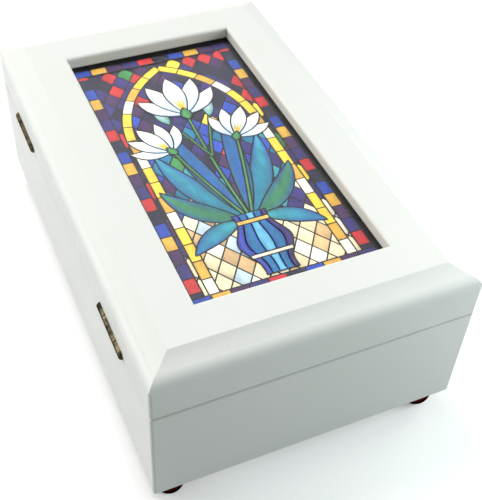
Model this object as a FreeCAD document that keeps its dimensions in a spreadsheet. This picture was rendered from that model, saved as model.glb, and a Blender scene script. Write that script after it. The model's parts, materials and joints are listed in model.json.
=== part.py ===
import FreeCAD, Part
import Sketcher
import math
import os
import re

# Musical jewelry box: a white painted case on four brass feet, a hinged lid that frames a glazed
# picture, flocked bays for jewelry inside, and a wound musical movement under a clear cover.
# Origin on the table under the middle of the box, X from the hinge side to the opening side,
# Y from the foot of the picture to its head, Z up. All lengths in millimetres.

os.makedirs("parts", exist_ok=True)
doc = FreeCAD.newDocument("MusicalJewelryBox")
sheet = doc.addObject("Spreadsheet::Sheet", "Sizes")

sizes = {
    # case
    "case_width": 127.0,
    "case_length": 203.2,
    "case_height": 47.6,
    "wall_thickness": 12.0,
    "corner_radius": 1.2,
    "edge_ease": 0.4,
    "bottom_thickness": 4.0,
    "bottom_tongue": 5.0,
    "seam_gap": 0.5,
    "overrun": 2.0,
    "screw_clearance": 0.1,
    "pin_clearance": 0.05,
    # lid moulding, measured inward from the side and down from the flat top
    "lid_height": 21.4,
    "rail_width": 25.4,
    "bevel_width": 10.0,
    "cove_run": 6.0,
    "cove_drop": 2.9,
    "cove_radius": 24.5,
    "slope_drop": 0.1,
    "round_run": 3.7,
    "round_rise": 5.1,
    "lip_round": 1.6,
    "lip_depth": 5.3,
    "rabbet_width": 6.0,
    # picture held in the lid
    "glass_thickness": 2.0,
    "print_thickness": 0.4,
    "backing_thickness": 3.0,
    "frame_clearance": 0.3,
    "point_thickness": 0.6,
    "point_length": 8.0,
    "point_reach": 4.0,
    "point_bite": 3.0,
    "lid_lining_thickness": 2.0,
    # hinges
    "hinge_length": 25.4,
    "hinge_from_end": 41.5,
    "hinge_inset": 0.5,
    "hinge_chamfer": 0.6,
    "knuckle_radius": 1.9,
    "knuckle_gap": 0.45,
    "hinge_pin_radius": 0.75,
    "leaf_thickness": 0.8,
    "leaf_width": 9.5,
    "mortise_clearance": 0.25,
    "leaf_screw_radius": 0.9,
    "leaf_screw_head": 1.6,
    "leaf_screw_length": 7.0,
    # feet
    "foot_height": 12.5,
    "foot_radius": 6.3,
    "foot_inset": 8.9,
    "foot_collar": 4.0,
    "foot_sole": 3.3,
    "foot_dome": 8.6,
    "stud_radius": 1.4,
    "stud_depth": 5.0,
    "stud_rise": 12.0,
    # bays inside the case
    "bay_clearance": 3.0,
    "partition_thickness": 4.0,
    "partition_drop": 6.0,
    "liner_thickness": 1.2,
    "liner_clearance": 0.2,
    "roll_height": 24.0,
    "roll_crown": 5.2,
    "roll_gap": 0.4,
    "ledge_size": 4.0,
    "cover_thickness": 2.0,
    "cover_sink": 1.5,
    # movement: bed, drum and winding key
    "drum_margin": 3.4,
    "plate_thickness": 2.5,
    "plate_margin": 1.3,
    "run_gap": 0.6,
    "post_thickness": 1.8,
    "post_margin": 3.0,
    "drum_height": 11.6,
    "drum_wall": 1.2,
    "drum_top": 1.5,
    "drum_rim": 0.2,
    "cap_thickness": 1.0,
    "spring_thickness": 0.35,
    "spring_start": 3.2,
    "spring_growth": 0.85,
    "arbor_radius": 2.0,
    "arbor_hole_clearance": 1.5,
    "key_gap": 0.8,
    "key_hub": 3.4,
    "key_grip": 5.0,
    "key_span": 22.0,
    "key_thickness": 2.0,
    "key_lobe": 3.3,
    "key_eye": 1.5,
    "bed_screw_radius": 1.4,
    "bed_screw_head": 2.8,
    "bed_screw_head_height": 1.8,
    "bed_screw_inset": 3.6,
    # movement: cylinder, comb and governor
    "drive_module": 0.7,
    "crown_width": 2.0,
    "pinion_width": 1.6,
    "cylinder_radius": 6.5,
    "cylinder_wall": 0.8,
    "cylinder_length": 18.0,
    "cylinder_cap": 1.2,
    "cylinder_arbor": 1.1,
    "cylinder_pin": 0.45,
    "comb_gap": 0.25,
    "comb_tooth": 10.0,
    "comb_base": 5.5,
    "comb_thickness": 1.0,
    "comb_slot": 0.24,
    "comb_screw_radius": 1.0,
    "comb_screw_head": 1.8,
    "comb_screw_head_height": 1.2,
    "comb_screw_length": 6.0,
    "train_module": 0.45,
    "train_arbor": 0.9,
    "wheel_width": 1.0,
    "worm_module": 0.5,
    "worm_radius": 1.6,
    "worm_length": 8.0,
    "fan_arbor": 0.6,
    "fan_radius": 4.6,
    "fan_height": 6.2,
    "fan_thickness": 0.8,
    "fan_hub": 1.5,
    "stop_radius": 0.6,
    "stop_gap": 0.4,
    "stop_from_wall": 3.6,
    "stop_reach": 6.8,
}
for row, (alias, value) in enumerate(sizes.items(), 1):
    sheet.set(f"A{row}", alias)
    sheet.set(f"B{row}", str(value))
    sheet.setAlias(f"B{row}", alias)
doc.recompute()

crown_teeth = 32
pinion_teeth = 10
wheel_teeth = 30
train_pinion_teeth = 10
worm_wheel_teeth = 24
comb_teeth = 18
roll_count = 4
spring_turns = 8
pressure_angle = math.radians(20)
addendum_share = 0.75
dedendum_share = 1.1
slack_share = 0.22
knuckle_share = 0.25
leaf_screw_shares = (0.22, 0.78)
leaf_screw_across_share = 0.62
comb_screw_shares = (0.22, 0.78)
long_point_shares = (-0.25, 0.0, 0.25)

# Places worked out from the sizes, each a formula over the sheet or over other places.
places = {
    "half_width": "case_width / 2",
    "half_length": "case_length / 2",
    "inner_x": "half_width - wall_thickness",
    "inner_y": "half_length - wall_thickness",
    "panel_top": "foot_height + bottom_thickness",
    "case_top": "foot_height + case_height",
    "lid_bottom": "case_top + seam_gap",
    "lid_top": "lid_bottom + lid_height",
    "axis_x": "hinge_inset - half_width",
    "axis_z": "case_top + seam_gap / 2",
    "corner_cut": "corner_radius * (1 - sqrt(2) / 2)",
    "round_foot": "slope_drop + cove_drop + round_rise",
    "lip_under": "lid_top - lip_depth",
    "glass_under": "lip_under - glass_thickness",
    "print_under": "glass_under - print_thickness",
    "backing_under": "print_under - backing_thickness",
    "point_under": "backing_under - point_thickness",
    "rabbet_in": "rail_width - rabbet_width",
    "pane_half_x": "half_width - rabbet_in - frame_clearance",
    "pane_half_y": "half_length - rabbet_in - frame_clearance",
    "partition_top": "case_top - partition_drop",
    "partition_far": "plate_near - bay_clearance",
    "partition_near": "partition_far - partition_thickness",
    "bay_right": "plate_right + bay_clearance",
    "small_left": "bay_right + partition_thickness",
    "tray_left": "partition_thickness / 2",
    "cover_top": "partition_top - cover_sink",
    "cover_under": "cover_top - cover_thickness",
    "plate_top": "panel_top + plate_thickness",
    "crown_radius": f"{crown_teeth} * drive_module / 2",
    "drum_radius": "crown_radius + crown_width / 2 + drum_rim",
    "drum_inner": "drum_radius - drum_wall",
    "drum_x": "drum_margin + drum_radius - inner_x",
    "drum_y": f"train_y - train_module * {wheel_teeth + train_pinion_teeth} / 2",
    "drum_under": "plate_top + run_gap",
    "crown_root": "drum_under + drum_height",
    "crown_pitch": f"crown_root + drive_module * {dedendum_share}",
    "cylinder_z": f"crown_pitch + drive_module * {pinion_teeth} / 2",
    "pinion_left": "drum_x + crown_radius - pinion_width / 2",
    "left_post": "pinion_left + pinion_width + run_gap",
    "cylinder_left": "left_post + post_thickness + run_gap",
    "cylinder_right": "cylinder_left + cylinder_length",
    "right_post": "cylinder_right + run_gap",
    "wheel_left": "right_post + post_thickness + run_gap",
    "worm_wheel_left": "wheel_left + wheel_width + run_gap",
    "cheek_left": "worm_wheel_left + wheel_width + 2 * run_gap",
    "cheek_right": "cheek_left + post_thickness",
    "train_y": "fan_y - worm_radius - worm_wheel_radius",
    "worm_wheel_radius": f"worm_module * {worm_wheel_teeth} / 2",
    "fan_x": "worm_wheel_left + wheel_width / 2",
    "fan_y": "stop_y - stop_reach",
    "fan_under": "plate_top + post_thickness + run_gap",
    "fan_top": "fan_under + fan_height",
    "bridge_under": "cylinder_z + worm_wheel_radius + worm_module + run_gap",
    "bridge_top": "bridge_under + post_thickness",
    "stop_y": "inner_y - stop_from_wall",
    "stop_foot_z": "fan_top + stop_gap + stop_radius",
    "frame_near": "train_y - post_margin",
    "frame_far": "stop_y + plate_margin",
    "comb_tip": "drum_y - cylinder_radius - cylinder_pin - comb_gap",
    "comb_root": "comb_tip - comb_tooth",
    "comb_back": "comb_root - comb_base",
    "comb_under": "cylinder_z - comb_thickness / 2",
    "plate_left": "drum_x - drum_radius - plate_margin",
    "plate_right": "cheek_right + plate_margin",
    "plate_near": "comb_back - plate_margin",
    "plate_far": "stop_y + plate_margin",
    "key_under": "foot_height - key_gap - 2 * key_lobe",
    "key_top": "foot_height - key_gap",
    "liner_floor": "panel_top + liner_thickness",
    "ring_left": "liner_thickness + liner_clearance - inner_x",
    "ring_right": "0 - tray_left - liner_thickness - liner_clearance",
    "ring_near": "liner_thickness + liner_clearance - inner_y",
    "ring_far": "partition_near - liner_thickness - liner_clearance",
    "roll_pitch": f"(ring_right - ring_left - roll_gap) / {roll_count}",
}
nodes = []


def formula(text):
    def written(match):
        word = match.group()
        if word in places:
            return "(" + formula(places[word]) + ")"
        return "Sizes." + word if word in sizes else word
    return re.sub(r"[a-z_]+", written, text)


def number(text):
    return float(sheet.evalExpression(formula(text)))


def point(x, y, z):
    return FreeCAD.Vector(number(x), number(y), number(z))


def node(obj, label):
    obj.Label = label
    nodes.append(obj)
    return obj


# A block between two limits along each axis.
def block(name, x, y, z):
    obj = doc.addObject("Part::Box", name)
    for axis, side, (low, high) in zip("xyz", ("Length", "Width", "Height"), (x, y, z)):
        obj.setExpression(f"Placement.Base.{axis}", formula(low))
        obj.setExpression(side, formula(f"({high}) - ({low})"))
    return obj


# Turns a round primitive to lie along an axis, with its foot at the low limit.
def stand(obj, along, across, low):
    turns = {"x": (0, 90, 0), "y": (0, 0, -90), "z": (0, 0, 0)}
    obj.Placement = FreeCAD.Placement(FreeCAD.Vector(), FreeCAD.Rotation(*turns[along]))
    first, second = [axis for axis in "xyz" if axis != along]
    for axis, text in ((first, across[0]), (second, across[1]), (along, low)):
        obj.setExpression(f"Placement.Base.{axis}", formula(text))
    return obj


def rod(name, along, across, limits, radius):
    obj = doc.addObject("Part::Cylinder", name)
    obj.setExpression("Radius", formula(radius))
    obj.setExpression("Height", formula(f"({limits[1]}) - ({limits[0]})"))
    return stand(obj, along, across, limits[0])


def cone(name, across, limits, low_radius, high_radius):
    obj = doc.addObject("Part::Cone", name)
    obj.setExpression("Radius1", formula(low_radius))
    obj.setExpression("Radius2", formula(high_radius))
    obj.setExpression("Height", formula(f"({limits[1]}) - ({limits[0]})"))
    return stand(obj, "z", across, limits[0])


def fuse(name, *shapes):
    obj = doc.addObject("Part::MultiFuse", name)
    obj.Shapes = list(shapes)
    return obj


def group(name, *shapes):
    obj = doc.addObject("Part::Compound", name)
    obj.Links = list(shapes)
    return obj


def cut(name, base, *tools):
    obj = doc.addObject("Part::Cut", name)
    obj.Base = base
    obj.Tool = tools[0] if len(tools) == 1 else fuse(name + "_tools", *tools)
    return obj


# Closed outline through corners given as formulas. An arc has its radius and the side of its
# centre, +1 to the left of the way round and -1 to the right.
def outline(sketch, corners, arcs=None):
    arcs = arcs or {}
    start = sketch.GeometryCount
    spots = [FreeCAD.Vector(number(a), number(b), 0) for a, b in corners]
    ends = []
    for index, here in enumerate(spots):
        there = spots[(index + 1) % len(spots)]
        if index not in arcs:
            sketch.addGeometry(Part.LineSegment(here, there))
            ends.append((1, 2))
            continue
        radius, side = number(arcs[index][0]), arcs[index][1]
        chord = there - here
        across = FreeCAD.Vector(-chord.y, chord.x, 0).normalize()
        centre = (here + there) / 2 + across * side * math.sqrt(radius ** 2 - chord.Length ** 2 / 4)
        first, last = [math.atan2(p.y - centre.y, p.x - centre.x) for p in (here, there)[::side]]
        circle = Part.Circle(centre, FreeCAD.Vector(0, 0, 1), radius)
        sketch.addGeometry(Part.ArcOfCircle(circle, first, last if last > first else last + 2 * math.pi))
        ends.append((1, 2)[::side])
    for index, (low, high) in enumerate(ends):
        after = (index + 1) % len(ends)
        sketch.addConstraint(Sketcher.Constraint("Coincident", start + index, high,
                                                 start + after, ends[after][0]))
        for kind, axis, text in zip(("DistanceX", "DistanceY"), (-2, -1), corners[index]):
            if text == "0":
                sketch.addConstraint(Sketcher.Constraint("PointOnObject", start + index, low, axis))
                continue
            rule = sketch.addConstraint(Sketcher.Constraint(kind, -1, 1, start + index, low, number(text)))
            sketch.setExpression(f"Constraints[{rule}]", formula(text))
    for index, (radius, side) in arcs.items():
        rule = sketch.addConstraint(Sketcher.Constraint("Radius", start + index, number(radius)))
        sketch.setExpression(f"Constraints[{rule}]", formula(radius))


def drawing(body, name, role):
    sketch = body.newObject("Sketcher::SketchObject", name)
    plane = next(feature for feature in body.Origin.OriginFeatures if feature.Role == role)
    sketch.AttachmentSupport = [(plane, "")]
    sketch.MapMode = "FlatFace"
    return sketch


def padded(body, sketch, length):
    pad = body.newObject("PartDesign::Pad", body.Name + "_pad")
    pad.Profile = sketch
    pad.SideType = "Symmetric"
    pad.setExpression("Length", formula(length))
    return pad


def pocketed(body, sketch):
    pocket = body.newObject("PartDesign::Pocket", sketch.Name + "_pocket")
    pocket.Profile = sketch
    pocket.SideType = "Symmetric"
    pocket.Type = "ThroughAll"
    return pocket


# A mitred length of board or moulding along one side of the box. The section is given as depth in
# from the outer face and height, and both ends are cut at 45 degrees with the corner eased.
def mitred(name, side, section, arcs, width):
    lengthwise = side in ("hinge", "opening")
    sign = -1 if side in ("hinge", "near") else 1
    across, along = ("half_width", "half_length") if lengthwise else ("half_length", "half_width")
    body = doc.addObject("PartDesign::Body", name)
    profile = drawing(body, name + "_section", "XZ_Plane" if lengthwise else "YZ_Plane")
    outline(profile, [(f"{sign} * ({across} - ({depth}))", height) for depth, height in section],
            {edge: (radius, -sign * turn) for edge, (radius, turn) in arcs.items()})
    padded(body, profile, f"2 * {along}")
    ends = drawing(body, name + "_mitres", "XY_Plane")
    far = f"{width} + overrun"
    waste = [("-overrun", "-overrun"), (far, "-overrun"), (far, far), ("corner_cut", "corner_cut"),
             ("0 * overrun", "corner_radius"), ("-overrun", "corner_radius")]
    for end in (-1, 1):
        spots = [(f"{sign} * ({across} - ({u}))", f"{end} * ({along} - ({v}))") for u, v in waste]
        turn = sign * end
        if not lengthwise:
            spots = [(b, a) for a, b in spots]
            turn = -turn
        outline(ends, spots, {3: ("corner_radius", -turn)})
    pocketed(body, ends)
    return body


# Case walls, with a rabbet below for the bottom panel.
def wall_section(top_cut):
    return [("0 * overrun", "foot_height + edge_ease"), ("0 * overrun", f"case_top - {top_cut}"),
            (top_cut, "case_top"), ("wall_thickness", "case_top"), ("wall_thickness", "panel_top"),
            ("wall_thickness - bottom_tongue", "panel_top"),
            ("wall_thickness - bottom_tongue", "foot_height"), ("edge_ease", "foot_height")]


# Lid moulding: eased below, rounded over to a slope and a cove that meets the flat top in a crease,
# then an eased lip over a rabbet for the glass.
def rail_section(low_cut):
    return [("0 * overrun", f"lid_bottom + {low_cut}"), ("0 * overrun", "lid_top - round_foot"),
            ("round_run", "lid_top - cove_drop - slope_drop"),
            ("bevel_width - cove_run", "lid_top - cove_drop"), ("bevel_width", "lid_top"),
            ("rail_width - lip_round", "lid_top"), ("rail_width", "lid_top - lip_round"),
            ("rail_width", "lip_under"), ("rabbet_in", "lip_under"), ("rabbet_in", "lid_bottom"),
            (low_cut, "lid_bottom")]


round_radius = "(round_run ^ 2 + round_rise ^ 2) / (2 * round_run)"
corner_names = {(-1, -1): "near_left", (-1, 1): "far_left", (1, -1): "near_right", (1, 1): "far_right"}
foot_places = {name: (f"{x} * (half_width - foot_inset)", f"{y} * (half_length - foot_inset)")
               for (x, y), name in corner_names.items()}
stud_holes = {name: rod(f"stud_hole_{name}", "z", spot,
                        ("foot_height - overrun", "foot_height + stud_rise + overrun"),
                        "stud_radius + screw_clearance") for name, spot in foot_places.items()}
hinge_middles = {"near": "hinge_from_end - half_length", "far": "half_length - hinge_from_end"}


def hinge_limits(end):
    middle = hinge_middles[end]
    return f"{middle} - hinge_length / 2", f"{middle} + hinge_length / 2"


def leaf_screw_places(end):
    low = hinge_limits(end)[0]
    return [(f"axis_x + leaf_width * {leaf_screw_across_share}", f"{low} + hinge_length * {share}")
            for share in leaf_screw_shares]


# Mortises for the hinge leaf, its screws and the knuckles, in the wall below or the rail above.
def hinge_mortises(part, leaf_limits, screw_limits):
    tools = []
    for end in hinge_middles:
        low, high = hinge_limits(end)
        tools.append(block(f"{part}_{end}_leaf_mortise",
                           ("axis_x", "axis_x + leaf_width + mortise_clearance"),
                           (f"{low} - mortise_clearance", f"{high} + mortise_clearance"), leaf_limits))
        tools.append(rod(f"{part}_{end}_knuckle_mortise", "y", ("axis_x", "axis_z"),
                         (f"{low} - mortise_clearance", f"{high} + mortise_clearance"),
                         "knuckle_radius + mortise_clearance"))
        for index, spot in enumerate(leaf_screw_places(end)):
            tools.append(rod(f"{part}_{end}_pilot_{index}", "z", spot, screw_limits,
                             "leaf_screw_radius + screw_clearance"))
    return tools


case_mortises = hinge_mortises("case", ("case_top - leaf_thickness", "case_top + seam_gap"),
                               ("case_top - leaf_screw_length - overrun", "case_top"))
wall_arcs = {1: ("edge_ease", 1), 7: ("edge_ease", 1)}


# Waste of the groove along the hinge side of the seam, which runs on through the mitred end pieces.
def groove_waste(name, seam, turn):
    body = doc.addObject("PartDesign::Body", name)
    profile = drawing(body, name + "_section", "XZ_Plane")
    beyond = f"{seam} + {turn} * overrun"
    outline(profile, [("-(half_width) - overrun", f"{seam} - {turn} * (hinge_chamfer + overrun)"),
                      ("hinge_chamfer + overrun - half_width", beyond), ("-(half_width) - overrun", beyond)])
    padded(body, profile, "2 * half_length")
    return body


case_groove = groove_waste("case_groove", "case_top", 1)
lid_groove = groove_waste("lid_groove", "lid_bottom", -1)
hinge_wall = mitred("hinge_wall_board", "hinge", wall_section("hinge_chamfer"), {7: ("edge_ease", 1)},
                    "wall_thickness")
node(cut("hinge_wall_cut", hinge_wall, stud_holes["near_left"], stud_holes["far_left"], *case_mortises),
     "hinge_side_wall")
for side, label, first, second in (("opening", "opening_side_wall", "near_right", "far_right"),
                                   ("near", "near_end_wall", "near_left", "near_right"),
                                   ("far", "far_end_wall", "far_left", "far_right")):
    board = mitred(f"{side}_wall_board", side, wall_section("edge_ease"), wall_arcs, "wall_thickness")
    waste = [stud_holes[first], stud_holes[second]]
    if side != "opening":
        waste.append(case_groove)
    node(cut(f"{side}_wall_cut", board, *waste), label)

# Lid rails, with slots for the points that hold the picture's backing.
point_blocks = {"hinge": [], "opening": [], "near": [], "far": []}
for side, sign in (("hinge", -1), ("opening", 1)):
    deep = ("half_width - rabbet_in + point_bite", "half_width - rabbet_in - point_reach")
    limits = [f"{sign} * ({text})" for text in deep[::sign]][::-1]
    for index, share in enumerate(long_point_shares):
        middle = f"{share} * case_length"
        point_blocks[side].append(block(f"{side}_point_{index}", limits,
                                        (f"{middle} - point_length / 2", f"{middle} + point_length / 2"),
                                        ("point_under", "backing_under")))
for side, sign in (("near", -1), ("far", 1)):
    deep = ("half_length - rabbet_in + point_bite", "half_length - rabbet_in - point_reach")
    limits = [f"{sign} * ({text})" for text in deep[::sign]][::-1]
    point_blocks[side].append(block(f"{side}_point", ("-point_length / 2", "point_length / 2"), limits,
                                    ("point_under", "backing_under")))
rail_arcs = {1: (round_radius, -1), 3: ("cove_radius", 1), 5: ("lip_round", -1)}
lid_mortises = hinge_mortises("lid", ("lid_bottom - seam_gap", "lid_bottom + leaf_thickness"),
                              ("lid_bottom", "lid_bottom + leaf_screw_length + overrun"))
for side in point_blocks:
    eased = dict(rail_arcs)
    low_cut = "hinge_chamfer"
    extra = lid_mortises
    if side != "hinge":
        eased[10] = ("edge_ease", -1)
        low_cut = "edge_ease"
        extra = [] if side == "opening" else [lid_groove]
    rail = mitred(f"{side}_rail", side, rail_section(low_cut), eased, "rail_width")
    node(cut(f"{side}_rail_cut", rail, *point_blocks[side], *extra), f"lid_{side}_rail")
node(group("points", *[shape for shapes in point_blocks.values() for shape in shapes]), "backing_points")


# Glass, print, backing board and lid lining, stacked under the lip of the moulding.
def pane(label, limits):
    across = ("-(pane_half_x)", "pane_half_x")
    along = ("-(pane_half_y)", "pane_half_y")
    node(block(label + "_sheet", across, along, limits), label)


pane("glass_pane", ("glass_under", "lip_under"))
pane("picture_print", ("print_under", "glass_under"))
pane("backing_board", ("backing_under", "print_under"))
pane("lid_lining", ("point_under - lid_lining_thickness", "point_under"))


# Butt hinges: the end knuckles belong to the case leaf and the long middle one to the lid leaf.
def hinge_leaf(name, end, knuckles, leaf, screws):
    low, high = hinge_limits(end)
    inner = "axis_x + knuckle_radius + knuckle_gap"
    pieces = [block(name + "_plate", (inner, "axis_x + leaf_width"), (low, high), leaf)]
    for index, limits in enumerate(knuckles):
        pieces.append(rod(f"{name}_knuckle_{index}", "y", ("axis_x", "axis_z"), limits, "knuckle_radius"))
        pieces.append(block(f"{name}_tongue_{index}", ("axis_x", inner), limits, leaf))
    bore = rod(name + "_bore", "y", ("axis_x", "axis_z"), (f"{low} - overrun", f"{high} + overrun"),
               "hinge_pin_radius + pin_clearance")
    return cut(name, fuse(name + "_form", *pieces), bore, *screws)


def leaf_screws(name, end, flush, root, tip, spread):
    shapes = []
    for index, spot in enumerate(leaf_screw_places(end)):
        radii = (f"leaf_screw_radius + {spread}", f"leaf_screw_head + {spread}")
        limits = (root, flush)
        if number(root) > number(flush):
            limits = (flush, root)
            radii = radii[::-1]
        shapes.append(cone(f"{name}_head_{index}", spot, limits, *radii))
        if tip:
            limits = (tip, root) if number(tip) < number(root) else (root, tip)
            shank = rod(f"{name}_shank_{index}", "z", spot, limits, "leaf_screw_radius")
            shapes[-1] = fuse(f"{name}_screw_{index}", shapes[-1], shank)
    return shapes


pins = []
case_screws = []
lid_screws = []
for end in hinge_middles:
    low, high = hinge_limits(end)
    inner_low = f"{low} + hinge_length * {knuckle_share}"
    inner_high = f"{high} - hinge_length * {knuckle_share}"
    outer_knuckles = [(low, f"{inner_low} - knuckle_gap / 2"), (f"{inner_high} + knuckle_gap / 2", high)]
    middle_knuckle = [(f"{inner_low} + knuckle_gap / 2", f"{inner_high} - knuckle_gap / 2")]
    sinks = leaf_screws(f"case_{end}_sink", end, "case_top", "case_top - leaf_thickness", None,
                        "screw_clearance")
    leaf_limits = ("case_top - leaf_thickness", "case_top")
    node(hinge_leaf(f"case_{end}_leaf", end, outer_knuckles, leaf_limits, sinks), f"{end}_hinge_case_leaf")
    sinks = leaf_screws(f"lid_{end}_sink", end, "lid_bottom", "lid_bottom + leaf_thickness", None,
                        "screw_clearance")
    leaf_limits = ("lid_bottom", "lid_bottom + leaf_thickness")
    node(hinge_leaf(f"lid_{end}_leaf", end, middle_knuckle, leaf_limits, sinks), f"{end}_hinge_lid_leaf")
    pins.append(rod(f"{end}_hinge_pin", "y", ("axis_x", "axis_z"), (low, high), "hinge_pin_radius"))
    case_screws += leaf_screws(f"case_{end}", end, "case_top", "case_top - leaf_thickness",
                               "case_top - leaf_screw_length", "0 * overrun")
    lid_screws += leaf_screws(f"lid_{end}", end, "lid_bottom", "lid_bottom + leaf_thickness",
                              "lid_bottom + leaf_screw_length", "0 * overrun")
node(group("hinge_pin_pair", *pins), "hinge_pins")
node(group("case_leaf_screws", *case_screws), "hinge_case_screws")
node(group("lid_leaf_screws", *lid_screws), "hinge_lid_screws")

# Domed brass feet on threaded studs.
for name, spot in foot_places.items():
    foot = doc.addObject("PartDesign::Body", f"foot_{name}")
    section = drawing(foot, f"foot_{name}_section", "XZ_Plane")
    hole = "stud_radius + screw_clearance"
    outline(section, [("0", "0"), ("foot_sole", "0"), ("foot_radius", "foot_height - foot_collar"),
                      ("foot_radius", "foot_height"), (hole, "foot_height"),
                      (hole, "foot_height - stud_depth"), ("0", "foot_height - stud_depth")],
            {1: ("foot_dome", 1)})
    turned = foot.newObject("PartDesign::Revolution", f"foot_{name}_turned")
    turned.Profile = section
    turned.ReferenceAxis = (section, ["V_Axis"])
    for axis, text in zip("xy", spot):
        foot.setExpression(f"Placement.Base.{axis}", formula(text))
    node(foot, f"{name}_foot")
node(group("studs", *[rod(f"stud_{name}", "z", spot, ("foot_height - stud_depth", "foot_height + stud_rise"),
                          "stud_radius") for name, spot in foot_places.items()]), "foot_studs")

# Bottom panel, with holes for the studs, the winding arbor and the movement's screws.
bed_screw_places = [("plate_left + bed_screw_inset", "plate_near + bed_screw_inset"),
                    ("plate_left + bed_screw_inset", "plate_far - bed_screw_inset"),
                    ("plate_right - bed_screw_inset", "plate_near + bed_screw_inset")]
bed_holes = [rod(f"bed_hole_{index}", "z", spot, ("foot_height - overrun", "plate_top + overrun"),
                 "bed_screw_radius + screw_clearance") for index, spot in enumerate(bed_screw_places)]
panel_half = ("inner_x + bottom_tongue", "inner_y + bottom_tongue")
panel = block("panel_board", *[(f"-({half})", half) for half in panel_half], ("foot_height", "panel_top"))
arbor_hole = rod("panel_arbor_hole", "z", ("drum_x", "drum_y"),
                 ("foot_height - overrun", "panel_top + overrun"), "arbor_radius + arbor_hole_clearance")
node(cut("panel_cut", panel, arbor_hole, *bed_holes, *stud_holes.values()), "bottom_panel")
bed_screws = []
for index, spot in enumerate(bed_screw_places):
    head = rod(f"bed_screw_head_{index}", "z", spot, ("foot_height - bed_screw_head_height", "foot_height"),
               "bed_screw_head")
    shank = rod(f"bed_screw_shank_{index}", "z", spot, ("foot_height", "plate_top"), "bed_screw_radius")
    bed_screws.append(fuse(f"bed_screw_{index}", head, shank))
node(group("bed_screw_set", *bed_screws), "movement_screws")

# Partitions between the bays.
standing = ("panel_top", "partition_top")
for label, across, along in (
        ("cross_partition", ("-(inner_x)", "inner_x"), ("partition_near", "partition_far")),
        ("movement_partition", ("bay_right", "small_left"), ("partition_far", "inner_y")),
        ("tray_partition", ("-(tray_left)", "tray_left"), ("-(inner_y)", "partition_near"))):
    node(block(label + "_board", across, along, standing), label)


# Flocked liners, open boxes that drop into the bays.
def liner(label, x, y):
    outer = [(f"{low} + liner_clearance", f"{high} - liner_clearance") for low, high in (x, y)]
    inner = [(f"{low} + liner_thickness", f"{high} - liner_thickness") for low, high in outer]
    shell = block(label + "_outside", *outer, standing)
    hollow = block(label + "_inside", *inner, ("liner_floor", "partition_top + overrun"))
    node(cut(label + "_shell", shell, hollow), label)


liner("ring_bay_liner", ("-(inner_x)", "-(tray_left)"), ("-(inner_y)", "partition_near"))
liner("tray_liner", ("tray_left", "inner_x"), ("-(inner_y)", "partition_near"))
liner("small_bay_liner", ("small_left", "inner_x"), ("partition_far", "inner_y"))

# Padded ring rolls, flat below with a crowned top, side by side along the ring bay.
for index in range(roll_count):
    roll = doc.addObject("PartDesign::Body", f"roll_{index}")
    section = drawing(roll, f"roll_{index}_section", "XZ_Plane")
    low = f"ring_left + roll_gap + {index} * roll_pitch"
    high = f"ring_left + {index + 1} * roll_pitch"
    shoulder = "liner_floor + roll_height - roll_crown"
    half = "(roll_pitch - roll_gap) / 2"
    outline(section, [(low, "liner_floor"), (high, "liner_floor"), (high, shoulder), (low, shoulder)],
            {2: (f"({half} * {half} + roll_crown * roll_crown) / (2 * roll_crown)", 1)})
    padded(roll, section, "ring_far - ring_near - 2 * roll_gap")
    roll.setExpression("Placement.Base.y", formula("(ring_near + ring_far) / 2"))
    node(roll, f"ring_roll_{index + 1}")

# Clear cover over the movement, resting on two ledges.
stop_hole = rod("cover_stop_hole", "z", ("fan_x", "stop_y"), ("cover_under - overrun", "cover_top + overrun"),
                "stop_radius + stop_gap")
cover = block("cover_sheet", ("frame_clearance - inner_x", "bay_right - frame_clearance"),
              ("partition_far + frame_clearance", "inner_y - frame_clearance"), ("cover_under", "cover_top"))
node(cut("cover_cut", cover, stop_hole), "movement_cover")
ledge_limits = (("partition_far", "inner_y"), ("cover_under - ledge_size", "cover_under"))
node(group("ledge_pair", block("ledge_left", ("-(inner_x)", "ledge_size - inner_x"), *ledge_limits),
           block("ledge_right", ("bay_right - ledge_size", "bay_right"), *ledge_limits)), "cover_ledges")

# Movement bed: plate, two posts for the cylinder and a block for the comb.
bed_plate = block("bed_plate", ("plate_left", "plate_right"), ("plate_near", "plate_far"),
                  ("panel_top", "plate_top"))
post_z = ("plate_top", "cylinder_z + post_margin")
bed = fuse("bed_form", bed_plate,
           block("bed_left_post", ("left_post", "left_post + post_thickness"),
                 ("drum_y - post_margin", "drum_y + post_margin"), post_z),
           block("bed_right_post", ("right_post", "right_post + post_thickness"),
                 ("drum_y - post_margin", "train_y + post_margin"), post_z),
           block("bed_comb_block", ("cylinder_left", "cylinder_right"), ("comb_back", "comb_root - comb_gap"),
                 ("plate_top", "comb_under")))
comb_screw_places = [(f"cylinder_left + cylinder_length * {share}", "comb_back + comb_base / 2")
                     for share in comb_screw_shares]
comb_holes = [rod(f"comb_hole_{index}", "z", spot,
                  ("comb_under - comb_screw_length - overrun", "comb_under + comb_thickness + overrun"),
                  "comb_screw_radius + screw_clearance") for index, spot in enumerate(comb_screw_places)]
frame_screw_place = ("fan_x", "frame_far - plate_margin - bed_screw_inset / 2")
frame_screw_hole = rod("frame_screw_hole", "z", frame_screw_place,
                       ("panel_top + bottom_thickness / 4", "plate_top + post_thickness + overrun"),
                       "comb_screw_radius + screw_clearance")
cylinder_bore = rod("cylinder_bore", "x", ("drum_y", "cylinder_z"), ("left_post - overrun", "wheel_left"),
                    "cylinder_arbor + pin_clearance")
train_bore = rod("train_bore", "x", ("train_y", "cylinder_z"),
                 ("right_post - overrun", "cheek_right + overrun"), "train_arbor + pin_clearance")
bed_arbor_bore = rod("bed_arbor_bore", "z", ("drum_x", "drum_y"),
                     ("panel_top - overrun", "plate_top + overrun"), "arbor_radius + pin_clearance")
bed_bores = [cylinder_bore, train_bore, bed_arbor_bore, frame_screw_hole, *bed_holes, *comb_holes]
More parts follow.
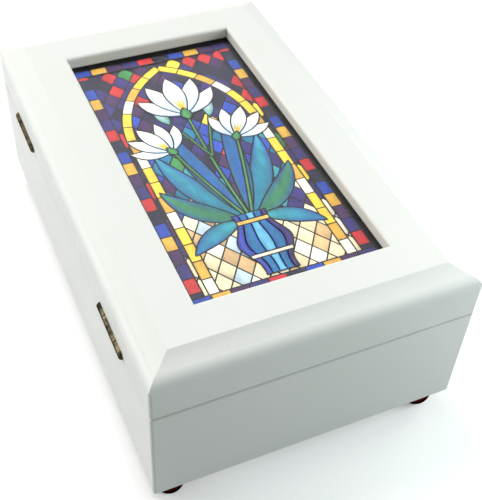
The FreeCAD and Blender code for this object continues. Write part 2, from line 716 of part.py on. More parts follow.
node(cut("bed_cut", bed, *bed_bores), "movement_bed")


# Tooth outline round a wheel: involute flanks above the base circle, radial below, thinned for slack.
# The first tooth points along the phase angle.
def toothed(teeth, module, width, bore, phase):
    pitch = module * teeth / 2
    base = pitch * math.cos(pressure_angle)
    root = pitch - module * dedendum_share
    tip = pitch + module * addendum_share
    half = math.pi / (2 * teeth) - module * slack_share / pitch / 2
    spread = math.tan(pressure_angle) - pressure_angle
    flank = []
    steps = 5
    for step in range(steps + 1):
        radius = root + (tip - root) * step / steps
        slant = math.acos(min(1.0, base / max(radius, base)))
        flank.append((radius, half + spread - math.tan(slant) + slant))
    spots = []
    for tooth in range(teeth):
        middle = phase + 2 * math.pi * tooth / teeth
        for radius, angle in [(r, -a) for r, a in flank] + flank[::-1]:
            turned = middle + angle
            spots.append(FreeCAD.Vector(0, radius * math.cos(turned), radius * math.sin(turned)))
    face = Part.Face(Part.makePolygon(spots + spots[:1]))
    wheel = face.extrude(FreeCAD.Vector(width, 0, 0))
    if bore:
        wheel = wheel.cut(Part.makeCylinder(bore, width, FreeCAD.Vector(), FreeCAD.Vector(1, 0, 0)))
    return wheel


def shaped(name, shape, where):
    obj = doc.addObject("Part::Feature", name)
    obj.Shape = shape
    obj.Placement = FreeCAD.Placement(where, FreeCAD.Rotation())
    return obj


# Spring drum: a cup with a ring of crown teeth on top, closed below by a cap.
drum_spot = ("drum_x", "drum_y")
drum_cup = cut("drum_cup", rod("drum_outside", "z", drum_spot, ("drum_under", "crown_root"), "drum_radius"),
               rod("drum_inside", "z", drum_spot, ("drum_under - overrun", "crown_root - drum_top"),
                   "drum_inner"),
               rod("drum_bore", "z", drum_spot, ("drum_under", "crown_root + overrun"),
                   "arbor_radius + pin_clearance"))
module = number("drive_module")
rise = module * (addendum_share + dedendum_share)
lean = math.tan(pressure_angle)
at_pitch = module * (math.pi / 2 - slack_share) / 2
low_half = at_pitch + module * dedendum_share * lean
high_half = at_pitch - module * addendum_share * lean
reach = number("crown_width")
inside = number("crown_radius") - reach / 2
crown = []
for tooth in range(crown_teeth):
    section = [FreeCAD.Vector(inside, across, up) for across, up in
               ((-low_half, 0), (low_half, 0), (high_half, rise), (-high_half, rise))]
    solid = Part.Face(Part.makePolygon(section + section[:1])).extrude(FreeCAD.Vector(reach, 0, 0))
    solid.rotate(FreeCAD.Vector(), FreeCAD.Vector(0, 0, 1), (tooth + 0.5) * 360 / crown_teeth)
    crown.append(solid)
crown_ring = shaped("crown_ring", Part.makeCompound(crown), point("drum_x", "drum_y", "crown_root"))
node(fuse("drum_form", drum_cup, crown_ring), "spring_drum")
node(cut("drum_cap_cut", rod("drum_cap_disc", "z", drum_spot, ("drum_under", "drum_under + cap_thickness"),
                             "drum_inner - pin_clearance"),
         rod("drum_cap_bore", "z", drum_spot,
             ("drum_under - overrun", "drum_under + cap_thickness + overrun"),
             "arbor_radius + pin_clearance")), "drum_cap")

# Mainspring: a flat strip wound outward from the arbor, inside the drum.
coil = doc.addObject("Part::Spiral", "spring_line")
coil.setExpression("Growth", formula("spring_growth"))
coil.setExpression("Radius", formula("spring_start"))
coil.Rotations = spring_turns
doc.recompute()
strip_height = number("drum_height - drum_top - cap_thickness - 2 * run_gap")
strip_half = number("spring_thickness") / 2
strip_start = number("spring_start")
strip_end = [FreeCAD.Vector(strip_start + across, 0, up) for across, up in
             ((-strip_half, 0), (strip_half, 0), (strip_half, strip_height), (-strip_half, strip_height))]
strip = Part.Wire(coil.Shape.Edges).makePipeShell([Part.makePolygon(strip_end + strip_end[:1])], True, False)
strip_start = point("drum_x", "drum_y", "drum_under + cap_thickness + run_gap")
node(shaped("spring_strip", strip, strip_start), "mainspring")

# Winding arbor through the drum, the bed and the bottom, with the key below.
node(rod("arbor", "z", drum_spot, ("key_top - key_grip", "crown_root + run_gap"), "arbor_radius"),
     "winding_arbor")
key_parts = [rod("key_hub_rod", "z", drum_spot, ("key_under", "key_top"), "key_hub"),
             block("key_bar", ("drum_x - key_span / 2 + key_lobe", "drum_x + key_span / 2 - key_lobe"),
                   ("drum_y - key_thickness / 2", "drum_y + key_thickness / 2"),
                   ("key_under + key_lobe / 2", "key_top - key_lobe / 2"))]
key_eyes = []
for side, sign in (("left", -1), ("right", 1)):
    across = (f"drum_x + {sign} * (key_span / 2 - key_lobe)", "key_under + key_lobe")
    key_parts.append(rod(f"key_{side}_lobe", "y", across,
                         ("drum_y - key_thickness / 2", "drum_y + key_thickness / 2"), "key_lobe"))
    key_eyes.append(rod(f"key_{side}_eye", "y", across,
                        ("drum_y - key_thickness / 2 - overrun", "drum_y + key_thickness / 2 + overrun"),
                        "key_eye"))
key_socket = rod("key_socket", "z", drum_spot, ("key_top - key_grip", "key_top + overrun"),
                 "arbor_radius + pin_clearance")
node(cut("key_cut", fuse("key_form", *key_parts), key_socket, *key_eyes), "winding_key")

# Pinned cylinder: tube, end caps, arbor, driven pinion and the wheel that drives the governor.
cylinder_spot = ("drum_y", "cylinder_z")
cylinder_limits = ("cylinder_left", "cylinder_right")
node(cut("cylinder_hollow", rod("cylinder_outside", "x", cylinder_spot, cylinder_limits, "cylinder_radius"),
         rod("cylinder_inside", "x", cylinder_spot, ("cylinder_left - overrun", "cylinder_right + overrun"),
             "cylinder_radius - cylinder_wall")), "cylinder_tube")
caps = []
for side, limits in (("left", ("cylinder_left", "cylinder_left + cylinder_cap")),
                     ("right", ("cylinder_right - cylinder_cap", "cylinder_right"))):
    disc = rod(f"cap_{side}_disc", "x", cylinder_spot, limits,
               "cylinder_radius - cylinder_wall - pin_clearance")
    bore = rod(f"cap_{side}_bore", "x", cylinder_spot, (f"{limits[0]} - overrun", f"{limits[1]} + overrun"),
               "cylinder_arbor + pin_clearance")
    caps.append(cut(f"cap_{side}", disc, bore))
node(group("cap_pair", *caps), "cylinder_caps")
node(rod("cylinder_shaft", "x", cylinder_spot, ("pinion_left", "wheel_left + wheel_width"), "cylinder_arbor"),
     "cylinder_arbor")
shaft_bore = number("cylinder_arbor + pin_clearance")
node(shaped("pinion_form", toothed(pinion_teeth, module, number("pinion_width"), shaft_bore, -math.pi / 2),
            point("pinion_left", "drum_y", "cylinder_z")), "cylinder_pinion")
node(shaped("wheel_form", toothed(wheel_teeth, number("train_module"), number("wheel_width"), shaft_bore, 0),
            point("wheel_left", "drum_y", "cylinder_z")), "cylinder_wheel")

# Tuned comb, its slots cut between the teeth.
comb = doc.addObject("PartDesign::Body", "comb_plate")
comb_sketch = drawing(comb, "comb_outline", "XY_Plane")
outline(comb_sketch, [("cylinder_left", "comb_back"), ("cylinder_right", "comb_back"),
                      ("cylinder_right", "comb_tip"), ("cylinder_left", "comb_tip")])
padded(comb, comb_sketch, "comb_thickness")
slot_sketch = drawing(comb, "comb_slot_outline", "XY_Plane")
slot_middle = f"cylinder_left + cylinder_length / {comb_teeth}"
outline(slot_sketch, [(f"{slot_middle} - comb_slot / 2", "comb_root"),
                      (f"{slot_middle} + comb_slot / 2", "comb_root"),
                      (f"{slot_middle} + comb_slot / 2", "comb_tip + overrun"),
                      (f"{slot_middle} - comb_slot / 2", "comb_tip + overrun")])
slot = pocketed(comb, slot_sketch)
slots = comb.newObject("PartDesign::LinearPattern", "comb_slots")
slots.Originals = [slot]
slots.Direction = (comb_sketch, ["H_Axis"])
slots.setExpression("Length", formula(f"cylinder_length * {comb_teeth - 2} / {comb_teeth}"))
slots.Occurrences = comb_teeth - 1
comb.Tip = slots
comb.setExpression("Placement.Base.z", formula("cylinder_z"))
node(cut("comb_cut", comb, *comb_holes), "comb")


def small_screw(name, spot, seat, length):
    head = rod(name + "_head", "z", spot, (seat, f"{seat} + comb_screw_head_height"), "comb_screw_head")
    shank = rod(name + "_shank", "z", spot, (f"{seat} - {length}", seat), "comb_screw_radius")
    return fuse(name, head, shank)


comb_screw_set = [small_screw(f"comb_screw_{index}", spot, "comb_under + comb_thickness", "comb_screw_length")
                  for index, spot in enumerate(comb_screw_places)]
node(group("comb_screw_pair", *comb_screw_set), "comb_screws")

# Governor frame: a foot, a cheek for the train arbor and a bridge over the fan.
frame = fuse("frame_form",
             block("frame_foot", ("wheel_left", "cheek_right"), ("frame_near", "frame_far"),
                   ("plate_top", "plate_top + post_thickness")),
             block("frame_cheek", ("cheek_left", "cheek_right"),
                   ("frame_near", "fan_y - fan_radius - run_gap"), ("plate_top", "bridge_top")),
             block("frame_bridge", ("wheel_left", "cheek_right"), ("frame_near", "frame_far"),
                   ("bridge_under", "bridge_top")))
fan_bore = rod("fan_bore", "z", ("fan_x", "fan_y"), ("plate_top - overrun", "bridge_top + overrun"),
               "fan_arbor + pin_clearance")
stop_bore = rod("stop_bore", "z", ("fan_x", "stop_y"), ("fan_top", "bridge_top + overrun"),
                "stop_radius + pin_clearance")
node(cut("frame_cut", frame, train_bore, fan_bore, stop_bore, frame_screw_hole), "governor_frame")
node(small_screw("frame_screw", frame_screw_place, "plate_top + post_thickness",
                 "post_thickness + plate_thickness / 2"), "governor_screw")

# Governor train: an arbor with the pinion that meets the cylinder wheel and the wheel that turns the worm.
train_shaft = rod("train_shaft", "x", ("train_y", "cylinder_z"), ("right_post", "cheek_right"), "train_arbor")
train_pinion = shaped("train_pinion",
                      toothed(train_pinion_teeth, number("train_module"), number("wheel_width"), 0,
                              math.pi + math.pi / train_pinion_teeth),
                      point("wheel_left", "train_y", "cylinder_z"))
worm_wheel = shaped("worm_wheel",
                    toothed(worm_wheel_teeth, number("worm_module"), number("wheel_width"), 0,
                            math.pi / worm_wheel_teeth),
                    point("worm_wheel_left", "train_y", "cylinder_z"))
node(fuse("train_form", train_shaft, train_pinion, worm_wheel), "governor_wheel")

# Governor worm: a single thread on an upright arbor, centred on the wheel where the two meet.
worm_module = number("worm_module")
lead = math.pi * worm_module
worm_pitch = number("worm_radius")
worm_length = number("worm_length")
core = worm_pitch - worm_module * dedendum_share
half_thread = worm_module * (math.pi / 2 - 2 * slack_share) / 2
thread_section = [FreeCAD.Vector(worm_pitch + out, 0, up) for out, up in
                  ((-worm_module * (dedendum_share + slack_share),
                    -half_thread - worm_module * (dedendum_share + slack_share) * lean),
                   (worm_module * addendum_share, -half_thread + worm_module * addendum_share * lean),
                   (worm_module * addendum_share, half_thread - worm_module * addendum_share * lean),
                   (-worm_module * (dedendum_share + slack_share),
                    half_thread + worm_module * (dedendum_share + slack_share) * lean))]
helix = Part.makeHelix(lead, worm_length - lead, worm_pitch)
thread_profile = Part.makePolygon(thread_section + thread_section[:1])
thread = Part.Wire(helix.Edges).makePipeShell([thread_profile], True, True)
half_turns = (worm_length - lead) / 2 / lead
thread.rotate(FreeCAD.Vector(), FreeCAD.Vector(0, 0, 1), 270 - 360 * half_turns)
thread.translate(FreeCAD.Vector(0, 0, (lead - worm_length) / 2))
worm_body = thread.fuse(Part.makeCylinder(core, worm_length, FreeCAD.Vector(0, 0, -worm_length / 2)))
worm_form = shaped("worm_form", worm_body, point("fan_x", "fan_y", "cylinder_z"))
fan_spindle = rod("fan_spindle", "z", ("fan_x", "fan_y"), ("plate_top + run_gap / 2", "bridge_top"),
                  "fan_arbor")
node(fuse("worm_fused", worm_form, fan_spindle), "governor_worm")
fan_vane = block("fan_vane", ("fan_x - fan_radius", "fan_x + fan_radius"),
                 ("fan_y - fan_thickness / 2", "fan_y + fan_thickness / 2"), ("fan_under", "fan_top"))
fan_hub = rod("fan_hub_rod", "z", ("fan_x", "fan_y"), ("fan_under", "fan_top"), "fan_hub")
fan_hole = rod("fan_hole", "z", ("fan_x", "fan_y"), ("fan_under - overrun", "fan_top + overrun"),
               "fan_arbor + pin_clearance")
node(cut("fan_cut", fuse("fan_form", fan_vane, fan_hub), fan_hole), "governor_fan")

# Stop wire: lifted by its own spring as the lid rises, its foot lies just over the fan.
stop_upright = rod("stop_upright", "z", ("fan_x", "stop_y"), ("stop_foot_z", "lid_bottom - stop_gap"),
                   "stop_radius")
stop_foot = rod("stop_foot", "y", ("fan_x", "stop_foot_z"),
                ("fan_y + worm_radius + worm_module + run_gap", "stop_y"), "stop_radius")
stop_bend = doc.addObject("Part::Sphere", "stop_bend")
stop_bend.setExpression("Radius", formula("stop_radius"))
stand(stop_bend, "z", ("fan_x", "stop_y"), "stop_foot_z")
node(fuse("stop_form", stop_upright, stop_foot, stop_bend), "stop_wire")

doc.recompute()
for obj in doc.Objects:
    if "Invalid" in obj.State or "Error" in obj.State:
        raise RuntimeError(f"{obj.Label} did not build: {obj.State}")
for obj in nodes:
    if obj.Shape.isNull() or not obj.Shape.isValid():
        raise RuntimeError(f"{obj.Label} is not a valid solid")
    obj.Shape.exportStep(f"parts/{obj.Label}.step")
    print(obj.Label, len(obj.Shape.Solids), round(obj.Shape.Volume, 2))
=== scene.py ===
import json
import math

import bmesh
import bpy
import numpy as np
from mathutils import Matrix, Vector


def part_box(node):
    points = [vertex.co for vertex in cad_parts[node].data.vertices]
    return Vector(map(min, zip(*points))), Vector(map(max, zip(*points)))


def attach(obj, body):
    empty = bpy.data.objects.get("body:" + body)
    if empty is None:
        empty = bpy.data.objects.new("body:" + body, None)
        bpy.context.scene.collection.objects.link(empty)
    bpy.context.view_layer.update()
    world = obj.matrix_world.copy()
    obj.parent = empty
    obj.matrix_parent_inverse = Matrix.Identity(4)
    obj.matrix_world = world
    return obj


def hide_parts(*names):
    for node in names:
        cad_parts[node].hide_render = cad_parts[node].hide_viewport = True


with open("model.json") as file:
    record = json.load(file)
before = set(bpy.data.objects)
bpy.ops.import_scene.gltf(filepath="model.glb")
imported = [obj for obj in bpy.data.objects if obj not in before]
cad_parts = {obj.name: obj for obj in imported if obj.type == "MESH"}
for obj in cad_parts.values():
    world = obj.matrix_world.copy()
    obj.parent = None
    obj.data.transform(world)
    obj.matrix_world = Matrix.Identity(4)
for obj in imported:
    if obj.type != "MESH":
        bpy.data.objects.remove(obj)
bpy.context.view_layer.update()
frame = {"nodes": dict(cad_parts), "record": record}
scene = bpy.context.scene
scene.view_settings.view_transform = "Standard"
print("frame loaded:", len(frame["nodes"]), "nodes")


# mesh helpers

def gridFaces(rows, columns, wrapColumns=False):
    # quads between neighbouring points of a grid
    r = np.arange(rows - 1)
    c = np.arange(columns if wrapColumns else columns - 1)
    r, c = np.meshgrid(r, c, indexing="ij")
    after = (c + 1) % columns
    here, below = r * columns, (r + 1) * columns
    return np.stack([here + c, here + after, below + after, below + c], -1).reshape(-1, 4)


def makeMesh(name, points, faces, smooth=True):
    mesh = bpy.data.meshes.new(name)
    mesh.from_pydata(np.asarray(points, float).reshape(-1, 3).tolist(), [], [list(face) for face in faces])
    mesh.polygons.foreach_set("use_smooth", np.full(len(mesh.polygons), smooth))
    mesh.update()
    return mesh


def newObject(name, data):
    thing = bpy.data.objects.new(name, data)
    scene.collection.objects.link(thing)
    return thing


def nodeBox(node):
    return (np.array(corner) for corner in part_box(node))


def addPiece(name, mesh, material, body):
    piece = newObject(name, mesh)
    mesh.materials.append(material)
    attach(piece, body)
    return piece


# shader helpers: a value is a number, a colour of three parts or another node's output

def wire(socket, value):
    if isinstance(value, bpy.types.NodeSocket):
        socket.id_data.links.new(value, socket)
    else:
        socket.default_value = (*value, 1.0) if socket.type == "RGBA" else value


def addNode(tree, kind, inputs=None, **settings):
    node = tree.nodes.new("ShaderNode" + kind)
    for name, value in settings.items():
        setattr(node, name, value)
    for name, value in (inputs or {}).items():
        wire(node.inputs[name], value)
    return node


def doMath(tree, operation, first, second=0.0, clamp=False):
    node = addNode(tree, "Math", {0: first, 1: second}, operation=operation, use_clamp=clamp)
    return node.outputs[0]


def multiply(tree, first, second, clamp=False):
    return doMath(tree, "MULTIPLY", first, second, clamp)


def mixColour(tree, factor, first, second, mode="MIX"):
    inputs = {0: factor, 6: first, 7: second}  # its colour sockets
    return addNode(tree, "Mix", inputs, data_type="RGBA", blend_type=mode).outputs[2]


def layOver(tree, mask, level, below, colour):
    # a colour over another, by a mask and at most by its level
    return mixColour(tree, multiply(tree, mask, level), below, colour)


def remap(tree, value, low, high, newLow=0.0, newHigh=1.0):
    # a straight line from low and high to the two new values, held at both ends
    inputs = dict(enumerate((value, low, high, newLow, newHigh)))
    return addNode(tree, "MapRange", inputs).outputs[0]


def noise(tree, vector, scale, detail=3.0, rough=0.55):
    inputs = {"Vector": vector, "Scale": scale, "Detail": detail, "Roughness": rough}
    return addNode(tree, "TexNoise", inputs).outputs["Fac"]


def vary(tree, pattern, ends=(0.0, 1.0)):
    # follows a noise between two values, over the span where most of the noise lies
    return remap(tree, pattern, 0.3, 0.7, *ends)


def objectPlace(tree, scale=(1, 1, 1), turn=(0, 0, 0)):
    place = addNode(tree, "TexCoord").outputs["Object"]
    inputs = {"Vector": place, "Scale": scale, "Rotation": turn}
    return addNode(tree, "Mapping", inputs).outputs[0]


def axes(tree, vector):
    return addNode(tree, "SeparateXYZ", {0: vector}).outputs


def newGroup(name, inputs, outputs):
    tree = bpy.data.node_groups.new(name, "ShaderNodeTree")
    for way, labels in (("INPUT", inputs), ("OUTPUT", outputs)):
        for label in labels:
            kind = "NodeSocket" + socketKinds.get(label, "Float")
            tree.interface.new_socket(label, in_out=way, socket_type=kind)
    given, out = tree.nodes.new("NodeGroupInput"), tree.nodes.new("NodeGroupOutput")
    return tree, given.outputs, out


def useGroup(tree, group, **inputs):
    return addNode(tree, "Group", inputs, node_tree=group).outputs


def dress(shader, **sockets):
    # a socket is named with underscores for its spaces
    for label, value in sockets.items():
        wire(shader.inputs[label.replace("_", " ")], value)


def newMaterial(name, **plain):
    material = bpy.data.materials.new(name)
    material.use_nodes = True
    tree = material.node_tree
    shader = tree.nodes["Principled BSDF"]
    dress(shader, **plain)
    return material, tree, shader


def bump(tree, height, strength, distance, **more):
    inputs = {"Height": height, "Strength": strength, "Distance": distance, **more}
    return addNode(tree, "Bump", inputs).outputs[0]


def finishBy(tree, shader, pattern, look, colour):
    # one noise drives roughness and relief
    dress(shader, Base_Color=colour, Roughness=vary(tree, pattern, look["roughness"]),
          Normal=bump(tree, pattern, *look["bump"]))


def fromScreen(red, green, blue):
    # screen values from 0 to 255, as the linear colour that shows them
    channel = np.array([red, green, blue]) / 255
    linear = np.where(channel <= 0.04045, channel / 12.92, ((channel + 0.055) / 1.055) ** 2.4)
    return (*linear.tolist(), 1.0)


tiny = 1e-9  # keeps a division by a length safe
perMetre = 1000  # millimetres


# shared effects
# a noise is given by scale, detail and roughness
# a mask is given by two levels of a noise and the two values that they turn into

socketKinds = dict.fromkeys(("Colour", "Drift", "Tarnish", "Deep", "Lit"), "Color")
socketKinds.update(Along="Vector", Normal="Vector")
edgeLook = {"samples": 6, "flat": 0.995, "sharp": 0.8}


def makeSoftEdge():
    # rounds hard edges in the shading, and masks where the rounded normal leaves the true one
    tree, given, out = newGroup("softEdge", ("Radius",), ("Normal", "Edge"))
    bevel = addNode(tree, "Bevel", {"Radius": given["Radius"]}, samples=edgeLook["samples"])
    rounded = bevel.outputs[0]
    facing = addNode(tree, "NewGeometry").outputs["Normal"]
    both = addNode(tree, "VectorMath", {0: rounded, 1: facing}, operation="DOT_PRODUCT")
    dress(out, Normal=rounded,
          Edge=remap(tree, both.outputs["Value"], edgeLook["flat"], edgeLook["sharp"]))
    return tree


# openness runs from one in the open to nothing in a closed slit
# the corner levels give the mask of painted shade and dirt, the gap levels the mask of painted shade in
# narrow slits
shadeAndDirtLook = {
    "samples": 6, "cornerShadeAndDirt": (0.85, 0.25), "gapShade": (0.75, 0.35), "detail": 4.0,
    "patches": (0.35, 0.65, 0.35, 1.0),
}


def makeShadeAndDirt():
    # painted shade and dirt in corners, broken up by noise, and the painted shade of a narrow gap
    tree, given, out = newGroup("shadeAndDirt", ("Reach", "Break"), ("Mask", "Gap"))
    look = shadeAndDirtLook
    occlusion = addNode(tree, "AmbientOcclusion", {"Distance": given["Reach"]}, samples=look["samples"])
    openness = occlusion.outputs["AO"]
    blots = noise(tree, objectPlace(tree), given["Break"], look["detail"])
    patchy = remap(tree, blots, *look["patches"])
    hidden = remap(tree, openness, *look["cornerShadeAndDirt"])
    dress(out, Mask=multiply(tree, hidden, patchy, True), Gap=remap(tree, openness, *look["gapShade"]))
    return tree


filmLook = {
    "drift": (22.0, 2.0), "grain": (1.0, 5.0, 0.62), "stipple": (1500.0, 2.0), "stippleShare": 0.35,
    "motes": (620.0, 1.0), "moteMask": (0.72, 0.8, 0.0, 0.25), "mote": (0.62, 0.6, 0.55),
    "gloss": (90.0, 3.0), "roughness": (0.36, 0.48),
}


def makePaintFilm():
    # sprayed paint: a slow drift of tone, fine stipple, and the wood's grain showing faintly through
    look = filmLook
    tree, given, out = newGroup("paintFilm", ("Colour", "Drift", "Along", "Grain"),
                                ("Colour", "Roughness", "Height"))
    place = objectPlace(tree)
    drift = vary(tree, noise(tree, place, *look["drift"]))
    toned = mixColour(tree, drift, given["Colour"], given["Drift"])
    motes = remap(tree, noise(tree, place, *look["motes"]), *look["moteMask"])
    gloss = noise(tree, place, *look["gloss"])
    grain = multiply(tree, noise(tree, given["Along"], *look["grain"]), given["Grain"])
    stipple = multiply(tree, noise(tree, place, *look["stipple"]), look["stippleShare"])
    dress(out, Colour=mixColour(tree, motes, toned, look["mote"]),
          Roughness=vary(tree, gloss, look["roughness"]), Height=doMath(tree, "ADD", grain, stipple))
    return tree


skinLook = {
    "blotch": (260.0, 5.0, 0.62), "stainStart": 0.9, "stainPull": 0.6, "stainSoft": 0.22,
    "stainRough": 0.22, "brush": (1.0, 3.0, 0.7), "brushRough": (-0.06, 0.08), "pits": (2600.0, 2.0),
    "pitShare": 0.4,
}


def makeMetalSkin():
    # brush lines along one way, blotches of tarnish, fine pits
    look = skinLook
    tree, given, out = newGroup("metalSkin", ("Colour", "Tarnish", "Along", "Spread", "Shine"),
                                ("Colour", "Roughness", "Height"))
    place = objectPlace(tree)
    blotch = noise(tree, place, *look["blotch"])
    pull = multiply(tree, given["Spread"], look["stainPull"])
    edgeAt = doMath(tree, "SUBTRACT", look["stainStart"], pull)
    stained = remap(tree, blotch, edgeAt, doMath(tree, "ADD", edgeAt, look["stainSoft"]))
    brush = noise(tree, given["Along"], *look["brush"])
    pits = multiply(tree, noise(tree, place, *look["pits"]), look["pitShare"])
    worn = doMath(tree, "ADD", given["Shine"], multiply(tree, stained, look["stainRough"]))
    lines = vary(tree, brush, look["brushRough"])
    dress(out, Colour=mixColour(tree, stained, given["Colour"], given["Tarnish"]),
          Roughness=doMath(tree, "ADD", worn, lines), Height=doMath(tree, "ADD", brush, pits))
    return tree


pileLook = {
    "fibre": (2.0, 0.7), "fibreMask": (0.3, 0.75, 0.0, 0.5), "strokes": (55.0, 3.0),
    "strokeMask": (0.35, 0.68, 0.0, 0.75),
}


def makePile():
    # short upright fibres: fine speckle, and patches brushed one way that read lighter
    look = pileLook
    tree, given, out = newGroup("pile", ("Deep", "Lit", "Fibre"), ("Colour", "Height"))
    place = objectPlace(tree)
    fibre = noise(tree, place, given["Fibre"], *look["fibre"])
    brushed = remap(tree, noise(tree, place, *look["strokes"]), *look["strokeMask"])
    speck = remap(tree, fibre, *look["fibreMask"])
    lifted = doMath(tree, "ADD", brushed, speck, True)
    dress(out, Colour=mixColour(tree, lifted, given["Deep"], given["Lit"]), Height=fibre)
    return tree


softEdge, shadeAndDirt, paintFilm = makeSoftEdge(), makeShadeAndDirt(), makePaintFilm()
metalSkin, pile = makeMetalSkin(), makePile()
print("shader groups built")


# painted wood

# in this table the corner colour is painted shade and dirt, the near-black gap colour is painted shade in
# gaps and along the seam, and the opening colour is creamier paint with painted shade
paintLook = {
    "white": (0.885, 0.885, 0.868), "warm": (0.872, 0.87, 0.842),
    "worn": (0.72, 0.69, 0.62), "cornerShadeAndDirt": (0.34, 0.33, 0.29), "gapShade": (0.035, 0.035, 0.032),
    "innerWhite": (0.82, 0.81, 0.77), "innerWarm": (0.79, 0.77, 0.72), "ior": 1.46,
    "grain": 0.5, "innerGrain": 0.9, "grainAcross": 420.0, "grainAlong": 14.0, "bump": (0.16, 0.0002),
    "rubs": (0.35, 4.0), "rubMask": (0.66, 0.8, 0.0, 0.22), "shadeAndDirtReach": 0.0010, "shadeAndDirtBreak": 240.0,
    "shadeAndDirtLevel": 0.32, "gapShadeLevel": 0.95, "seam": (0.0592, 0.0604), "seamLevel": 0.26, "steep": (0.2, 0.4),
    "level": (0.95, 0.85), "creamShade": (0.76, 0.74, 0.67), "openingReach": (0.0384, 0.0765), "creamShadeLevel": 0.85,
}


def seamShade(tree):
    # painted shade on the sloped edge under the lid: heights near the seam, on faces neither upright nor
    # level
    look, place = paintLook, addNode(tree, "TexCoord").outputs
    height, upward = axes(tree, place["Object"])["Z"], axes(tree, place["Normal"])["Z"]
    above = doMath(tree, "GREATER_THAN", height, look["seam"][0])
    below = doMath(tree, "LESS_THAN", height, look["seam"][1])
    sloped = multiply(tree, remap(tree, upward, *look["steep"]), remap(tree, upward, *look["level"]))
    return multiply(tree, multiply(tree, above, below), sloped)


def creamShadedOpening(tree):
    # creamier, darker paint on the walls round the picture, partly painted shade: inside the opening, above
    # the seam
    look, place = paintLook, axes(tree, objectPlace(tree))
    across, along = (doMath(tree, "LESS_THAN", doMath(tree, "ABSOLUTE", place[axis]), reach)
                     for axis, reach in zip("XY", look["openingReach"]))
    above = doMath(tree, "GREATER_THAN", place["Z"], look["seam"][1])
    return multiply(tree, multiply(tree, across, along), above)


def paintedWood(name, alongX, white, warm, grain):
    look = paintLook
    material, tree, shader = newMaterial(name, IOR=look["ior"])
    across, along = look["grainAcross"], look["grainAlong"]
    run = objectPlace(tree, (along, across, across) if alongX else (across, along, across))
    film = useGroup(tree, paintFilm, Colour=white, Drift=warm, Along=run, Grain=grain)
    cornerShadeAndDirt = useGroup(tree, shadeAndDirt, Reach=look["shadeAndDirtReach"], Break=look["shadeAndDirtBreak"])
    rubs = remap(tree, noise(tree, run, *look["rubs"]), *look["rubMask"])
    worn = mixColour(tree, rubs, film["Colour"], look["worn"])
    # the opening's walls get creamier paint and painted shade
    toned = layOver(tree, creamShadedOpening(tree), look["creamShadeLevel"], worn, look["creamShade"])
    # painted shade and dirt in corners
    shadedAndSoiled = layOver(tree, cornerShadeAndDirt["Mask"], look["shadeAndDirtLevel"], toned, look["cornerShadeAndDirt"])
    seam = multiply(tree, seamShade(tree), look["seamLevel"])
    # near-black painted shade in narrow gaps and along the seam
    gapShade = doMath(tree, "MAXIMUM", multiply(tree, cornerShadeAndDirt["Gap"], look["gapShadeLevel"]), seam)
    dress(shader, Base_Color=mixColour(tree, gapShade, shadedAndSoiled, look["gapShade"]), Roughness=film["Roughness"],
          Normal=bump(tree, film["Height"], *look["bump"]))
    return material


outside = (paintLook["white"], paintLook["warm"], paintLook["grain"])
whiteAlongX = paintedWood("whitePaintAcross", True, *outside)
whiteAlongY = paintedWood("whitePaintAlong", False, *outside)
innerPaint = paintedWood("innerPaint", True, paintLook["innerWhite"], paintLook["innerWarm"],
                         paintLook["innerGrain"])


# bottom board: pale painted fibreboard with a pressed fibre texture

boardLook = {
    "pale": (0.78, 0.77, 0.73), "drift": (0.7, 0.68, 0.62), "fibre": (0.52, 0.47, 0.38), "ior": 1.46,
    "grain": 0.2, "fibres": (700.0, 6.0, 0.7), "turn": (0, 0, 0.4), "mask": (0.4, 0.75, 0.0, 0.35),
    "shadeAndDirtReach": 0.006, "shadeAndDirtLevel": 0.45, "roughness": (0.55, 0.75), "bump": (0.3, 0.0002),
}


def bottomBoard():
    look = boardLook
    material, tree, shader = newMaterial("bottomBoard", IOR=look["ior"])
    fibres = noise(tree, objectPlace(tree, turn=look["turn"]), *look["fibres"])
    film = useGroup(tree, paintFilm, Colour=look["pale"], Drift=look["drift"],
                    Along=objectPlace(tree), Grain=look["grain"])
    cornerShadeAndDirt = useGroup(tree, shadeAndDirt, Reach=look["shadeAndDirtReach"], Break=paintLook["shadeAndDirtBreak"])
    mottled = mixColour(tree, remap(tree, fibres, *look["mask"]), film["Colour"], look["fibre"])
    # painted shade and dirt in the board's corners
    shadedAndSoiled = layOver(tree, cornerShadeAndDirt["Mask"], look["shadeAndDirtLevel"], mottled, paintLook["cornerShadeAndDirt"])
    finishBy(tree, shader, fibres, look, shadedAndSoiled)
    return material


# metals: tarnish spreads over the colour, brush lines run the way of the lowest scale, soil and painted
# shade darken corners
# a row is colour, tarnish, its spread, roughness, brush scales, their depth and the reach of the soil and
# painted shade

metalLooks = {
    "antique_brass": ((0.15, 0.122, 0.072), (0.03, 0.026, 0.02), 0.85, 0.34, (900, 60, 900), 0.25, 0.0015),
    # the polished brass is darkened towards dark bronze, partly a painted reflection of the shade under the
    # box
    "polished_brass": ((0.078, 0.031, 0.011), (0.02, 0.008, 0.01), 0.55, 0.13, (120, 120, 900), 0.06, 0.008),
    "steel": ((0.56, 0.56, 0.58), (0.30, 0.28, 0.25), 0.3, 0.28, (60, 900, 900), 0.12, 0.0015),
    "bed_metal": ((0.50, 0.50, 0.49), (0.34, 0.33, 0.31), 0.4, 0.42, (500, 500, 500), 0.3, 0.0015),
    "drum_metal": ((0.72, 0.56, 0.27), (0.45, 0.31, 0.13), 0.35, 0.22, (150, 150, 1400), 0.1, 0.0015),
    "cylinder_brass": ((0.78, 0.60, 0.28), (0.50, 0.34, 0.14), 0.3, 0.2, (1400, 150, 150), 0.1, 0.0015),
    "key_metal": ((0.66, 0.62, 0.52), (0.40, 0.36, 0.28), 0.35, 0.24, (700, 90, 90), 0.12, 0.0015),
}
